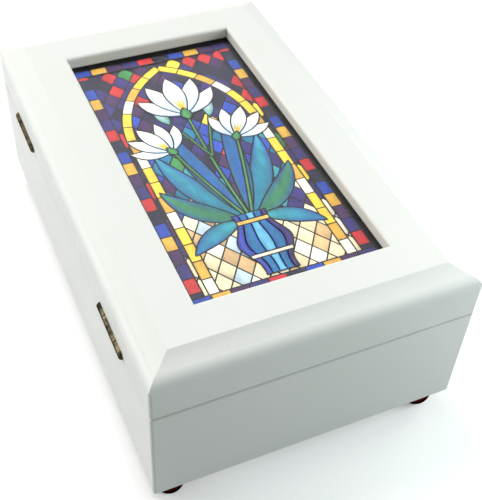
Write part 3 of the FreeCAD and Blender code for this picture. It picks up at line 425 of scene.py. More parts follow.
# the near-black soil colour is soil and painted shade, and on the feet a painted dark reflection of the
# box's underside
metalWear = {
    "edgeRadius": 0.0002, "edgeRub": 0.5, "soilAndShade": (0.02, 0.014, 0.018), "soilAndShadeLevel": 0.8,
    "soilAndShadeBreak": 900.0, "bumpDistance": 0.0001,
}


def metal(name):
    colour, tarnish, spread, shine, brush, depth, soilAndShadeReach = metalLooks[name]
    wear = metalWear
    material, tree, shader = newMaterial(name, Metallic=1.0, Specular_Tint=colour)
    skin = useGroup(tree, metalSkin, Colour=colour, Tarnish=tarnish, Along=objectPlace(tree, brush),
                    Spread=spread, Shine=shine)
    edge = useGroup(tree, softEdge, Radius=wear["edgeRadius"])
    # soil and painted shade in hollows; on the feet the wide reach paints a dark reflection near the box's
    # underside
    cornerShadeAndDirt = useGroup(tree, shadeAndDirt, Reach=soilAndShadeReach, Break=wear["soilAndShadeBreak"])
    rubbed = layOver(tree, edge["Edge"], wear["edgeRub"], skin["Colour"], colour)
    shadedAndSoiled = layOver(tree, cornerShadeAndDirt["Mask"], wear["soilAndShadeLevel"], rubbed, wear["soilAndShade"])
    marks = bump(tree, skin["Height"], depth, wear["bumpDistance"], Normal=edge["Normal"])
    dress(shader, Base_Color=shadedAndSoiled, Roughness=skin["Roughness"], Normal=marks)
    return material


# clear sheets: the shadow of a clear sheet is let through, so what lies under it stays lit
# a row is tint, refraction and the mask that turns smears into roughness

sheetLooks = {
    "sheetGlass": ((0.97, 0.99, 0.985), 1.22, (0.45, 0.75, 0.0, 0.05)),
    "clearAcrylic": ((0.97, 0.985, 0.98), 1.49, (0.45, 0.75, 0.02, 0.12)),
}
smearLook = {"stretch": (1, 0.35, 1), "turn": (0, 0, 0.6), "smears": (70.0, 5.0, 0.65), "letThrough": 0.95}


def clearSheet(name):
    tint, ior, smearMask = sheetLooks[name]
    material, tree, shader = newMaterial(name, Base_Color=tint, IOR=ior, Transmission_Weight=1.0)
    run = objectPlace(tree, smearLook["stretch"], smearLook["turn"])
    smears = noise(tree, run, *smearLook["smears"])
    shadow = addNode(tree, "LightPath").outputs["Is Shadow Ray"]
    passed = multiply(tree, shadow, smearLook["letThrough"])
    dress(shader, Roughness=remap(tree, smears, *smearMask),
          Alpha=doMath(tree, "SUBTRACT", 1.0, passed))
    return material


# print under the glass: glass tints from the mesh, streaked as hand-blown glass is, on smooth coated paper

paperLook = {
    "roughness": 0.42, "ior": 1.45, "stretch": (1.0, 0.3, 1.0), "turn": (0, 0, 0.5),
    "streaks": (330.0, 5.0, 0.6), "streakTone": (0.25, 0.75, 0.72, 1.22), "clouds": (120.0, 3.0),
    "cloudTone": (0.85, 1.12), "bump": (0.03, 0.0001),
}


def printedPaper():
    look = paperLook
    material, tree, shader = newMaterial("printedPaper", Roughness=look["roughness"], IOR=look["ior"])
    tint = addNode(tree, "Attribute", attribute_name="tint").outputs["Color"]
    run = objectPlace(tree, look["stretch"], look["turn"])
    streaks = noise(tree, run, *look["streaks"])
    clouds = noise(tree, objectPlace(tree), *look["clouds"])
    shade = multiply(tree, remap(tree, streaks, *look["streakTone"]), vary(tree, clouds, look["cloudTone"]))
    tone = addNode(tree, "CombineColor", {"Red": shade, "Green": shade, "Blue": shade}).outputs[0]
    dress(shader, Base_Color=mixColour(tree, 1.0, tint, tone, "MULTIPLY"),
          Normal=bump(tree, streaks, *look["bump"]))
    return material


# brown backing card: layered fibres

cardLook = {
    "ior": 1.4, "dark": (0.25, 0.165, 0.09), "light": (0.42, 0.31, 0.19), "fleck": (0.16, 0.1, 0.05),
    "stretch": (1, 4, 1), "fibres": (420.0, 6.0, 0.7), "flecks": (1300.0, 2.0),
    "fleckMask": (0.6, 0.75, 0.0, 0.6), "roughness": (0.75, 0.95), "bump": (0.3, 0.0002),
}


def backingCard():
    look = cardLook
    material, tree, shader = newMaterial("backingCard", IOR=look["ior"])
    fibres = noise(tree, objectPlace(tree, look["stretch"]), *look["fibres"])
    flecks = remap(tree, noise(tree, objectPlace(tree), *look["flecks"]), *look["fleckMask"])
    toned = mixColour(tree, fibres, look["dark"], look["light"])
    finishBy(tree, shader, fibres, look, mixColour(tree, flecks, toned, look["fleck"]))
    return material


# velvet and flock: the same pile at two lengths
# a row is the deep and the lit colour, scale of the fibres, sheen and depth of the relief

clothLooks = {
    "velvet": ((0.012, 0.02, 0.095), (0.035, 0.055, 0.2), 2600.0, 0.55, 0.0004),
    "flock": ((0.014, 0.024, 0.11), (0.03, 0.05, 0.18), 4200.0, 0.35, 0.0002),
}
clothFinish = {
    "roughness": 0.92, "ior": 1.35, "sheenRoughness": 0.35, "sheenTint": (0.55, 0.62, 1.0), "bump": 0.55,
}


def pileCloth(name):
    deep, lit, fibre, sheen, depth = clothLooks[name]
    look = clothFinish
    material, tree, shader = newMaterial(
        name, Roughness=look["roughness"], IOR=look["ior"], Sheen_Weight=sheen,
        Sheen_Roughness=look["sheenRoughness"], Sheen_Tint=look["sheenTint"])
    cloth = useGroup(tree, pile, Deep=deep, Lit=lit, Fibre=fibre)
    dress(shader, Base_Color=cloth["Colour"], Normal=bump(tree, cloth["Height"], look["bump"], depth))
    return material


# moulded nylon: faint flow marks

nylonLook = {
    "ior": 1.52, "glow": 0.15, "glowDepth": 0.001, "dull": (0.84, 0.82, 0.74), "bright": (0.9, 0.89, 0.83),
    "stretch": (1, 1, 3), "flow": (300.0, 4.0), "roughness": (0.3, 0.45), "bump": (0.1, 0.0001),
}


def mouldedNylon():
    look = nylonLook
    material, tree, shader = newMaterial("mouldedNylon", IOR=look["ior"], Subsurface_Weight=look["glow"],
                                         Subsurface_Scale=look["glowDepth"])
    flow = noise(tree, objectPlace(tree, look["stretch"]), *look["flow"])
    finishBy(tree, shader, flow, look, mixColour(tree, flow, look["dull"], look["bright"]))
    return material


velvet = pileCloth("velvet")
looks = {name: metal(name) for name in metalLooks}
looks.update({
    "bottom_board": bottomBoard(),
    "partition_wood": innerPaint,
    "glass": clearSheet("sheetGlass"),
    "clear_cover": clearSheet("clearAcrylic"),
    "print": printedPaper(),
    "card": backingCard(),
    "velvet": velvet,
    "flock": pileCloth("flock"),
    "nylon": mouldedNylon(),
})
endPieces = ("near_end_wall", "far_end_wall", "lid_near_rail", "lid_far_rail")
subparts = frame["record"]["subparts"]
for part in subparts:
    node, slot = part["node"], part["material_slot"]
    look = looks.get(slot) or (whiteAlongX if node in endPieces else whiteAlongY)
    mesh = frame["nodes"][node].data
    mesh.materials.clear()
    mesh.materials.append(look)
print("materials on", len(subparts), "nodes")


# the print: leaded tiles, an arch, a border and a vase of lilies, laid as thin flat inlays
# sizes are in millimetres, and heights are measured from the middle of the picture
# layers count upwards from the paper, and a leaded piece takes two

printArt = {
    "lead": 0.62, "inlay": 0.0048, "paper": 0.02, "margin": (43, 81), "paneShade": 0.86, "tintPower": 1.6,
    "bladePower": 0.85, "stemSteps": 30, "paneSteps": (6, 5),
    "borderOuter": (36.6, 74.7), "borderWidth": 4.2, "borderPane": (7.4, 7.2), "borderSteps": (40, 30),
    "borderShades": ("night", "red", "indigo", "aubergine", "gold", "cobalt"),
    "archHalf": 27.5, "archSpring": 18.0, "archFoot": -80, "archBand": 3.6, "archPane": 9.0,
    "archSteps": (30, 40), "archShades": ("yellow", "ivory", "gold", "yellow"),
}
ink = {
    "lead": (10, 8, 14), "indigo": (44, 34, 104), "aubergine": (62, 28, 78), "night": (24, 20, 52),
    "cobalt": (28, 62, 158), "sky": (96, 156, 208), "teal": (12, 100, 134), "sea": (44, 142, 156),
    "ivory": (238, 230, 208), "cream": (222, 204, 166), "tan": (186, 152, 108), "white": (244, 243, 240),
    "red": (184, 34, 40), "yellow": (236, 196, 58), "gold": (206, 158, 60), "green": (52, 126, 66),
    "leaf": (34, 98, 74), "stem": (70, 128, 60), "mist": (176, 194, 212),
}
ink = {name: np.array(fromScreen(*shade)) for name, shade in ink.items()}
art = {"points": [], "faces": [], "tints": [], "count": 0}
printLow, printHigh = nodeBox("picture_print")
inlayStart = printLow[2] + printArt["paper"] / perMetre


def layInlay(flat, tints, faces, layer):
    # flat points in millimetres, lifted to their layer; faces are turned to look up
    flat = np.asarray(flat, float).reshape(-1, 2)
    faces = np.asarray(faces)
    a, b, c = (flat[faces[:, k]] for k in (0, 1, 2))
    turn = (b - a)[:, 0] * (c - a)[:, 1] - (b - a)[:, 1] * (c - a)[:, 0]
    faces = np.where(turn[:, None] < 0, faces[:, ::-1], faces)
    height = np.full((len(flat), 1), inlayStart + layer * printArt["inlay"] / perMetre)
    art["points"].append(np.hstack([flat / perMetre, height]))
    art["faces"].append(faces + art["count"])
    art["tints"].append(np.broadcast_to(tints, (len(flat), 4)))
    art["count"] += len(flat)


def layStrip(left, right, middle, side, layer, columns=7):
    # patch ruled between two edges: tint runs from side at each edge to middle at the centre line
    t = np.linspace(0, 1, columns)[None, :, None]
    patch = left[:, None] * (1 - t) + right[:, None] * t
    near = 1 - np.abs(2 * t - 1) ** printArt["tintPower"]
    middle, side = (np.broadcast_to(tint, (len(left), 4))[:, None] for tint in (middle, side))
    tints = side * (1 - near) + middle * near
    layInlay(patch, tints.reshape(-1, 4), gridFaces(len(left), columns), layer)


def grown(left, right, width):
    # the two edges moved outwards along the outline's normal
    ring = np.concatenate([left, right[::-1]])
    along = np.roll(ring, -1, 0) - np.roll(ring, 1, 0)
    length = np.linalg.norm(along, axis=1, keepdims=True)
    out = np.stack([along[:, 1], -along[:, 0]], 1) / np.maximum(length, tiny)
    after = np.roll(ring, -1, 0)
    area = np.sum(ring[:, 0] * after[:, 1] - ring[:, 1] * after[:, 0])
    ring = ring + out * width * np.sign(area)
    return ring[:len(left)], ring[len(left):][::-1]


def layLeaded(left, right, middle, side, layer, columns=7):
    layStrip(*grown(left, right, printArt["lead"] / 2), ink["lead"], ink["lead"], layer, columns=3)
    layStrip(*grown(left, right, -printArt["lead"] / 2), middle, side, layer + 1, columns)


def bladeEdges(base, angle, length, width, bend, belly, count=22):
    # blade along a bending line; half width is a sine of the way along it to a power
    s = np.linspace(0, 1, count)
    heading = np.radians(angle) + np.radians(bend) * s
    steps = np.stack([np.cos(heading), np.sin(heading)], 1) * length / (count - 1)
    line = np.array(base) + np.cumsum(steps, 0) - steps[0]
    half = width / 2 * np.sin(np.pi * s ** belly)[:, None] ** printArt["bladePower"]
    across = np.stack([-np.sin(heading), np.cos(heading)], 1) * half
    return line + across, line - across


def fade(first, last, count=22):
    t = np.linspace(0, 1, count)[:, None]
    return ink[first] * (1 - t) + ink[last] * t


tileArt = {
    "size": (7.6, 11.0), "across": 7, "along": 17, "seed": 11, "drift": 6, "toneSpread": (0.82, 1.12),
    "cornerTones": (1.06, 1.15, 0.94, 0.82), "upperFrom": 12, "middleFrom": -34, "spandrelFrom": -44,
    "jewelFrom": -40, "jewelEvery": (3, 4),
    "upper": ("indigo", "night", "aubergine", "night", "indigo", "cobalt"),
    "middle": ("cobalt", "teal", "indigo", "night", "sea", "aubergine"),
    "lower": ("cream", "tan", "ivory", "cream", "cream", "mist"),
    "spandrel": ("night", "aubergine", "red", "indigo", "night", "indigo"),
    "jewel": ("yellow", "red", "green"),
}


def layQuarries():
    # diamond tiles on a half-step lattice, tinted by height in the window and by side of the arch
    pick = np.random.default_rng(tileArt["seed"])
    wide, tall = tileArt["size"]
    spans = (np.arange(-tileArt[way], tileArt[way] + 1) for way in ("across", "along"))
    i, j = np.meshgrid(*spans, indexing="ij")
    x = (i * wide + (j % 2) * wide / 2).ravel()
    y = (j * tall / 2).ravel()
    corners = np.array([(wide / 2, 0), (0, tall / 2), (-wide / 2, 0), (0, -tall / 2)])
    inset = 1 - printArt["lead"] * math.hypot(wide, tall) / (wide * tall)
    tiles = np.stack([x, y], 1)[:, None] + corners * inset
    spring, half = printArt["archSpring"], printArt["archHalf"]
    reach = 2 * half  # each side of the arch is a circle about the other foot
    inside = (np.abs(x) < half) & ((y < spring) | (np.hypot(np.abs(x) + half, y - spring) < reach))
    upper, middle, lower, spandrel, bright = (
        np.stack([ink[name] for name in tileArt[zone]])
        for zone in ("upper", "middle", "lower", "spandrel", "jewel"))
    choice = pick.integers(0, len(upper), len(x))
    level = (y + pick.normal(0, tileArt["drift"], len(x)))[:, None]
    tints = np.where(level > tileArt["middleFrom"], middle[choice], lower[choice])
    tints = np.where(level > tileArt["upperFrom"], upper[choice], tints)
    tints = np.where(inside[:, None] | (level < tileArt["spandrelFrom"]), tints, spandrel[choice])
    everyColumn, everyRow = tileArt["jewelEvery"]
    jewel = ((j % everyRow == 0) & (i % everyColumn == 1)).ravel() & (y > tileArt["jewelFrom"])
    tints = np.where(jewel[:, None], bright[choice % len(bright)], tints)
    tints = tints * pick.uniform(*tileArt["toneSpread"], (len(x), 1))
    tints = tints[:, None] * np.array(tileArt["cornerTones"])[None, :, None]
    edgeX, edgeY = printArt["borderOuter"]
    shown = (np.abs(x) < edgeX) & (np.abs(y) < edgeY)  # the border covers the rest
    tiles, tints = tiles[shown], tints[shown]
    layInlay(tiles, tints.reshape(-1, 4), np.arange(4 * len(tiles)).reshape(-1, 4), 1)


def layBand(path, outward, width, shades, piece, layer):
    # band of short panes along a path; outward is the unit direction across it at each point
    lead = printArt["lead"]
    length = np.concatenate([[0], np.cumsum(np.linalg.norm(np.diff(path, axis=0), axis=1))])
    count = max(int(round(length[-1] / piece)), 1)
    ends = np.linspace(0, length[-1], count + 1)
    rim = outward * (width / 2 + lead)
    layStrip(path + rim, path - rim, ink["lead"], ink["lead"], layer, columns=3)
    steps, columns = printArt["paneSteps"]
    for index in range(count):
        at = np.linspace(ends[index] + lead / 2, ends[index + 1] - lead / 2, steps)
        spot, side = (np.stack([np.interp(at, length, line[:, k]) for k in (0, 1)], 1)
                      for line in (path, outward * width / 2))
        shade = ink[shades[index % len(shades)]]
        layStrip(spot + side, spot - side, shade, shade * printArt["paneShade"], layer + 1, columns)


def layArch(layer):
    # each half rises straight, then follows a circle about the opposite foot to the point
    half, spring = printArt["archHalf"], printArt["archSpring"]
    steps, bowSteps = printArt["archSteps"]
    turn = np.linspace(0, math.acos(0.5), bowSteps)
    heading = np.stack([np.cos(turn), np.sin(turn)], 1)
    for sign in (-1, 1):
        climb = np.linspace(printArt["archFoot"], spring, steps, endpoint=False)
        rise = np.stack([np.full(steps, half), climb], 1)
        bow = 2 * half * heading + (-half, spring)
        path = np.concatenate([rise, bow]) * (sign, 1)
        out = np.concatenate([np.tile((1.0, 0.0), (steps, 1)), heading]) * (sign, 1)
        layBand(path, out, printArt["archBand"], printArt["archShades"], printArt["archPane"], layer)


def layBorder(layer):
    # straight bands of panes along the four sides, then a black margin out to the paper's edge
    wide, tall = printArt["borderOuter"]
    width, shades = printArt["borderWidth"], printArt["borderShades"]
    uprightPane, levelPane = printArt["borderPane"]
    inset = width / 2 + printArt["lead"]
    rows, columns = printArt["borderSteps"]
    for sign in (-1, 1):
        upright = np.stack([np.full(rows, sign * (wide - inset)), np.linspace(-tall, tall, rows)], 1)
        layBand(upright, np.tile((float(sign), 0.0), (rows, 1)), width, shades, uprightPane, layer)
        level = np.stack([np.linspace(-wide, wide, columns), np.full(columns, sign * (tall - inset))], 1)
        layBand(level, np.tile((0.0, float(sign)), (columns, 1)), width, shades[::-1], levelPane, layer + 2)
    edgeX, edgeY = printArt["margin"]
    for sign in (-1, 1):
        for x, y in (((sign * wide, sign * edgeX), (-edgeY, edgeY)),
                     ((-edgeX, edgeX), (sign * tall, sign * edgeY))):
            flat = [(x[0], y[0]), (x[1], y[0]), (x[1], y[1]), (x[0], y[1])]
            layInlay(flat, ink["lead"], [(0, 1, 2, 3)], layer + 4)


# a blade is its length and width as shares of the size, its bend, belly and points along it
# a petal is its angle from the lily's axis, then its length, width and bend
lilyArt = {
    "petals": ((62, 0.92, 0.30, -26), (-62, 0.92, 0.30, 26), (30, 1.05, 0.32, -12), (-30, 1.05, 0.32, 12),
               (0, 1.1, 0.36, 0)),
    "petalBelly": 1.15, "threads": (-9, 0, 9), "thread": (0.5, 0.05, 0, 0.9, 10), "cupBack": 0.12,
    "cup": (0.32, 0.2, 0, 0.8, 12),
}


def layLily(base, lean, size, layer):
    # petals fan out round the leaning axis: back pair, side pair, then the front petal over the throat
    shape = lilyArt
    for angle, long, wide, bend in shape["petals"]:
        petal = bladeEdges(base, lean + angle, size * long, size * wide, bend, shape["petalBelly"])
        layLeaded(*petal, fade("mist", "white"), fade("sky", "ivory"), layer)
        layer += 2
    long, wide, *form = shape["thread"]
    for angle in shape["threads"]:
        thread = bladeEdges(base, lean + angle, size * long, size * wide, *form)
        layStrip(*thread, ink["yellow"], ink["gold"], layer + 1, columns=3)
    heading = np.array([np.cos(np.radians(lean)), np.sin(np.radians(lean))])
    long, wide, *form = shape["cup"]
    start = np.array(base) - shape["cupBack"] * size * heading
    cup = bladeEdges(start, lean, size * long, size * wide, *form)
    layLeaded(*cup, fade("stem", "green", len(cup[0])), ink["leaf"], layer + 2)


def layStem(points, width, layer):
    # smooth line through three points: a parabola in the share of the way along
    a, b, c = (np.array(p, float) for p in points)
    s = np.linspace(0, 1, printArt["stemSteps"])[:, None]
    line = a * (1 - s) * (1 - 2 * s) + b * 4 * s * (1 - s) + c * s * (2 * s - 1)
    along = np.gradient(line, axis=0)
    length = np.linalg.norm(along, axis=1, keepdims=True)
    across = np.stack([-along[:, 1], along[:, 0]], 1) / length * width / 2
    layLeaded(line + across, line - across, ink["stem"], ink["leaf"], layer, columns=5)


vaseArt = {
    "foot": -68, "height": 32, "levels": (0, 0.06, 0.12, 0.5, 0.8, 0.9, 1),
    "radii": (6.6, 6.8, 5.6, 11.6, 7.0, 5.8, 7.6), "goreAngles": (-90, -42, -12, 14, 44, 90),
    "gores": (("cobalt", "indigo"), ("teal", "cobalt"), ("sky", "sea"), ("teal", "cobalt"),
              ("indigo", "night")),
    "bands": ((0.86, 2.2, "gold"), (0.3, 2.0, "ivory")), "bandInset": 0.2, "steps": 26, "smoothing": 5,
}


def layVase(layer):
    # gores of a round jar: the edge follows a smooth profile of radius against height
    foot, height, span = vaseArt["foot"], vaseArt["height"], vaseArt["smoothing"]
    t = np.linspace(0, 1, vaseArt["steps"])
    radius = np.interp(t, vaseArt["levels"], vaseArt["radii"])
    radius = np.convolve(np.pad(radius, span // 2, "edge"), np.ones(span) / span, "valid")
    up = foot + t * height
    bounds = np.sin(np.radians(vaseArt["goreAngles"]))
    for index, (middle, side) in enumerate(vaseArt["gores"]):
        left = np.stack([radius * bounds[index], up], 1)
        right = np.stack([radius * bounds[index + 1], up], 1)
        layLeaded(left, right, ink[middle], ink[side], layer)
    for level, thick, shade in vaseArt["bands"]:
        reach = np.interp(level, t, radius) - vaseArt["bandInset"]
        band = np.array([(-reach, foot + level * height), (reach, foot + level * height)])
        layLeaded(band + (0, thick / 2), band - (0, thick / 2), ink[shade], ink["tan"], layer + 2)


# a leaf is its base, angle, length, width, bend and two tints; a lily is its base, lean and size
bouquetArt = {
    "leaves": (((2, -37), 52, 50, 9.5, 26, ("teal", "sea")), ((3, -38), 22, 36, 9.0, 44, ("leaf", "green")),
               ((1, -37), 74, 64, 8.0, 10, ("cobalt", "teal")),
               ((4, -39), -8, 26, 8.0, -34, ("sea", "teal"))),
    "leafBelly": 0.9, "stemWidth": 1.5,
    "stems": (((0, -38), (-0.8, -5), (0, 30)), ((-1, -38), (-9, -12), (-14, 8)),
              ((1, -38), (9, -12), (14, 8))),
    "budStem": ((0, 0), (4, 12), (9, 26)), "budStemWidth": 1.2, "budBase": (9, 25), "budLean": 14,
    "bud": (15, 5.2, 0, 0.85),
    "lilies": (((-14, 8), 118, 19), ((14, 8), 62, 19), ((0, 29), 90, 25)), "lilyLayers": 14,
}


def layBouquet(layer):
    # leaves behind, stems, two buds, then three open lilies
    shape = bouquetArt
    for sign in (-1, 1):
        for base, angle, long, wide, bend, tones in shape["leaves"]:
            leaf = bladeEdges((sign * base[0], base[1]), 90 - sign * (90 - angle), long, wide, sign * bend,
                              shape["leafBelly"])
            layLeaded(*leaf, fade(*tones), fade("leaf", "cobalt"), layer)
            layer += 2
    for points in shape["stems"]:
        layStem(points, shape["stemWidth"], layer)
    layer += 2
    baseX, baseY = shape["budBase"]
    for sign in (-1, 1):
        layStem([(sign * x, y) for x, y in shape["budStem"]], shape["budStemWidth"], layer)
        bud = bladeEdges((sign * baseX, baseY), 90 - sign * shape["budLean"], *shape["bud"])
        layLeaded(*bud, fade("sea", "ivory"), fade("green", "sky"), layer + 2)
    layer += 4
    for base, lean, size in shape["lilies"]:
        layLily(base, lean, size, layer)
        layer += shape["lilyLayers"]
    return layer


def makePrint():
    # a closed sheet of paper, corner k taking its low or high x, y and z by the bits of k, then the inlays
    low, high = printLow.copy(), printHigh.copy()
    high[2] = inlayStart
    box = np.array([[(low, high)[k >> a & 1][a] for a in range(3)] for k in range(8)])
    sheetFaces = [(0, 2, 3, 1), (4, 5, 7, 6), (0, 1, 5, 4), (2, 6, 7, 3), (0, 4, 6, 2), (1, 3, 7, 5)]
    art["points"].append(box)
    art["faces"].append(np.array(sheetFaces))
    art["tints"].append(np.broadcast_to(ink["lead"], (len(box), 4)))
    art["count"] += len(box)
    layQuarries()
    layArch(2)
    top = layBouquet(4)
    layVase(top)
    layBorder(top + 4)
    print("print layers:", top + 9)
    points, faces = np.concatenate(art["points"]), np.concatenate(art["faces"])
    mesh = makeMesh("windowPrint", points, faces, smooth=False)
    tint = mesh.color_attributes.new("tint", "FLOAT_COLOR", "POINT")
    tint.data.foreach_set("color", np.clip(np.concatenate(art["tints"]), 0, 1).ravel())
    piece = addPiece("window_print", mesh, looks["print"], "lid")
    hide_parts("picture_print")


makePrint()


# stuffed cloth: a closed cover is blown up from within, then each point's move is held to a cap

clothFill = {
    "scale": 20.0, "frames": 20, "steps": 6, "stretch": 14.0, "bend": 0.35, "mass": 0.3,
    "mergeWithin": 0.00002,
}


def closePoles(mesh):
    # points drawn together at the ends are merged, and faces turned outwards
    work = bmesh.new()
    work.from_mesh(mesh)
    bmesh.ops.remove_doubles(work, verts=work.verts, dist=clothFill["mergeWithin"])
    bmesh.ops.recalc_face_normals(work, faces=work.faces)
    work.to_mesh(mesh)
    work.free()


def meshPoints(mesh):
    flat = np.empty(len(mesh.vertices) * 3)
    mesh.vertices.foreach_get("co", flat)
    return flat.reshape(-1, 3)


def stuff(mesh, held, shape, low, high):
    # worked at a larger scale, where the cloth solver is steady; held points are sewn down
    start = meshPoints(mesh)
    middle = start.mean(0)
    large = (start - middle) * clothFill["scale"]
    cover = mesh.copy()
    cover.vertices.foreach_set("co", large.ravel())
    balloon = newObject("balloon", cover)
    balloon.vertex_groups.new(name="sewn").add(np.flatnonzero(held).tolist(), 1.0, "REPLACE")
    fill = balloon.modifiers.new("fill", "CLOTH")
    cloth = fill.settings
    cloth.quality, cloth.mass = clothFill["steps"], clothFill["mass"]
    cloth.tension_stiffness = cloth.compression_stiffness = cloth.shear_stiffness = clothFill["stretch"]
    cloth.bending_stiffness = clothFill["bend"]
    cloth.use_pressure, cloth.uniform_pressure_force = True, shape["pressure"]
    cloth.shrink_min = -shape["slack"]
    cloth.effector_weights.gravity = 0
    cloth.vertex_group_mass = "sewn"
    fill.point_cache.frame_start, fill.point_cache.frame_end = 1, clothFill["frames"]
    for step in range(1, clothFill["frames"] + 1):
        scene.frame_set(step)
    swollen = balloon.evaluated_get(bpy.context.evaluated_depsgraph_get()).to_mesh()
    move = (meshPoints(swollen) - large) / clothFill["scale"]
    scene.frame_set(1)
    bpy.data.objects.remove(balloon)
    bpy.data.meshes.remove(cover)
    reach = np.linalg.norm(move, axis=1, keepdims=True)
    move *= np.minimum(1, shape["cap"] / np.maximum(reach, tiny))
    mesh.vertices.foreach_set("co", np.clip(start + move, low, high).ravel())
    mesh.update()
    print("stuffed", mesh.name, "points", len(start), "moved up to %.2f mm" % (reach.max() * perMetre))


def soften(piece):
    smooth = piece.modifiers.new("soften", "SUBSURF")
    smooth.levels = smooth.render_levels = 1


# ring rolls: stuffed velvet, straight where they press together, crowned above, gathered at the ends

rollShape = {
    "count": 4, "around": 48, "along": 96, "slim": 0.0007, "topPower": 2.9, "footPower": 6.0,
    "capLength": 0.0050, "crowding": 0.25, "drawPower": 0.8, "endWidth": 0.25, "puckers": 12,
    "puckerDepth": 0.00030, "puckerPower": 0.7, "uneven": 0.00009, "sewnEnd": 0.0022, "pressure": 5.0,
    "slack": 0.05, "cap": 0.0011,
}


def rollSurface(low, high, seed):
    # section: superellipse, rounder above than below. Along: quarter circles draw each end in to a point.
    shape = rollShape
    around, along, crowding, endWidth = (shape[name] for name in ("around", "along", "crowding", "endWidth"))
    middle, half = (low + high) / 2, (high - low) / 2 - shape["slim"]
    u = np.linspace(0, 2 * np.pi, around, endpoint=False)[None]
    s = np.linspace(-1, 1, along)[:, None]
    v = np.sin(s * np.pi / 2) * crowding + s * (1 - crowding)
    power = np.where(np.sin(u) > 0, shape["topPower"], shape["footPower"])
    across = np.sign(np.cos(u)) * np.abs(np.cos(u)) ** (2 / power)
    upright = np.sign(np.sin(u)) * np.abs(np.sin(u)) ** (2 / power)
    fromEnd = np.clip((1 - np.abs(v)) * half[1] / shape["capLength"], 0, 1)
    draw = np.sqrt(np.clip(1 - (1 - fromEnd) ** 2, 0, 1)) ** shape["drawPower"]
    nearEnd = np.sin(np.pi * np.clip(draw, 0, 1)) ** shape["puckerPower"]
    gather = shape["puckerDepth"] * np.cos(shape["puckers"] * u) * nearEnd
    uneven = np.random.default_rng(seed).normal(0, shape["uneven"], (along, around)) * draw
    wide = half[0] * across * (endWidth + (1 - endWidth) * draw) * (draw > 0)
    x = middle[0] + wide + (gather + uneven) * np.cos(u)
    z = middle[2] + (half[2] * draw + gather + uneven) * upright
    y = middle[1] + half[1] * v + 0 * u
    return np.stack(np.broadcast_arrays(x, y, z), -1), gridFaces(along, around, True)


def makeRolls():
    for index in range(1, rollShape["count"] + 1):
        low, high = nodeBox(f"ring_roll_{index}")
        points, faces = rollSurface(low, high, index)
        mesh = makeMesh(f"ringRoll{index}", points, faces)
        closePoles(mesh)
        off = np.abs(meshPoints(mesh)[:, 1] - (low[1] + high[1]) / 2)
        ends = off > (high[1] - low[1]) / 2 - rollShape["sewnEnd"]
        stuff(mesh, ends, rollShape, low, high)
        roll = addPiece(f"padded_roll_{index}", mesh, velvet, "case")
        soften(roll)
        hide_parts(f"ring_roll_{index}")


makeRolls()


# lid lining: velvet over a thin pad, sewn down along its edge and at tufts in staggered rows

liningShape = {
    "across": 61, "along": 113, "inset": 0.0002, "edge": 0.0030, "thin": 0.0010, "rimThick": 0.00004,
    "faceBelow": 0.00002, "backBelow": 0.00001, "heldBelow": 0.00003, "sewnEdge": 0.0008, "tufts": (4, 8),
    "tuftSize": 0.0011, "pressure": 3.0, "slack": 0.06, "cap": 0.0012,
}


def makeLining():
    # start: a flat slab, its rim a quarter circle in section
    shape = liningShape
    low, high = nodeBox("lid_lining")
    middle, half = (low + high) / 2, (high - low) / 2 - (shape["inset"], shape["inset"], 0)
    rows, columns = shape["along"], shape["across"]
    v, u = np.meshgrid(np.linspace(-1, 1, rows), np.linspace(-1, 1, columns), indexing="ij")
    x, y = middle[0] + half[0] * u, middle[1] + half[1] * v
    inward = np.minimum((1 - np.abs(u)) * half[0], (1 - np.abs(v)) * half[1])
    rounding = np.clip(inward / shape["edge"], 0, 1)
    thick = shape["thin"] * np.sqrt(1 - (1 - rounding) ** 2) + shape["rimThick"]
    face = np.stack([x, y, high[2] - shape["faceBelow"] - thick], -1)
    back = np.stack([x, y, np.full_like(x, high[2] - shape["backBelow"])], -1)
    faces = gridFaces(rows, columns)
    rim = np.concatenate([np.arange(columns), np.arange(1, rows) * columns + columns - 1,
                          (rows - 1) * columns + np.arange(columns - 2, -1, -1),
                          np.arange(rows - 2, 0, -1) * columns])
    after = np.roll(rim, -1)
    sides = np.stack([rim, after, after + rows * columns, rim + rows * columns], 1)
    mesh = makeMesh("lidLining", np.concatenate([face.reshape(-1, 3), back.reshape(-1, 3)]),
                    np.concatenate([faces[:, ::-1], faces + rows * columns, sides]))
    closePoles(mesh)
    spots = meshPoints(mesh)
    off, tufts = (spots - middle)[:, :2], np.array(shape["tufts"])
    share, step = off / half[:2] * tufts / 2, half[:2] * 2 / tufts
    sewn = (np.abs(off) > half[:2] - shape["sewnEdge"]).any(1) | (spots[:, 2] > high[2] - shape["heldBelow"])
    for shift in (0.0, 0.5):  # two lattices, half a step apart, make the staggered rows
        away = (share - shift - np.round(share - shift)) * step
        sewn |= np.hypot(away[:, 0], away[:, 1]) < shape["tuftSize"]
    stuff(mesh, sewn, shape, low, high)
    lining = addPiece("padded_lining", mesh, velvet, "lid")
    soften(lining)
    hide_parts("lid_lining")


makeLining()
print("padded pieces made")


# tune pins: short tapered pins in rows round the cylinder, one row for each comb tooth

pinShape = {
    "rows": 18, "perRow": 9, "radius": 0.00017, "tip": 0.00011, "height": 0.00042, "sunk": 0.0002,
    "endInset": 0.0008, "spread": (0.1, 0.9), "sides": 6, "seed": 5,
}


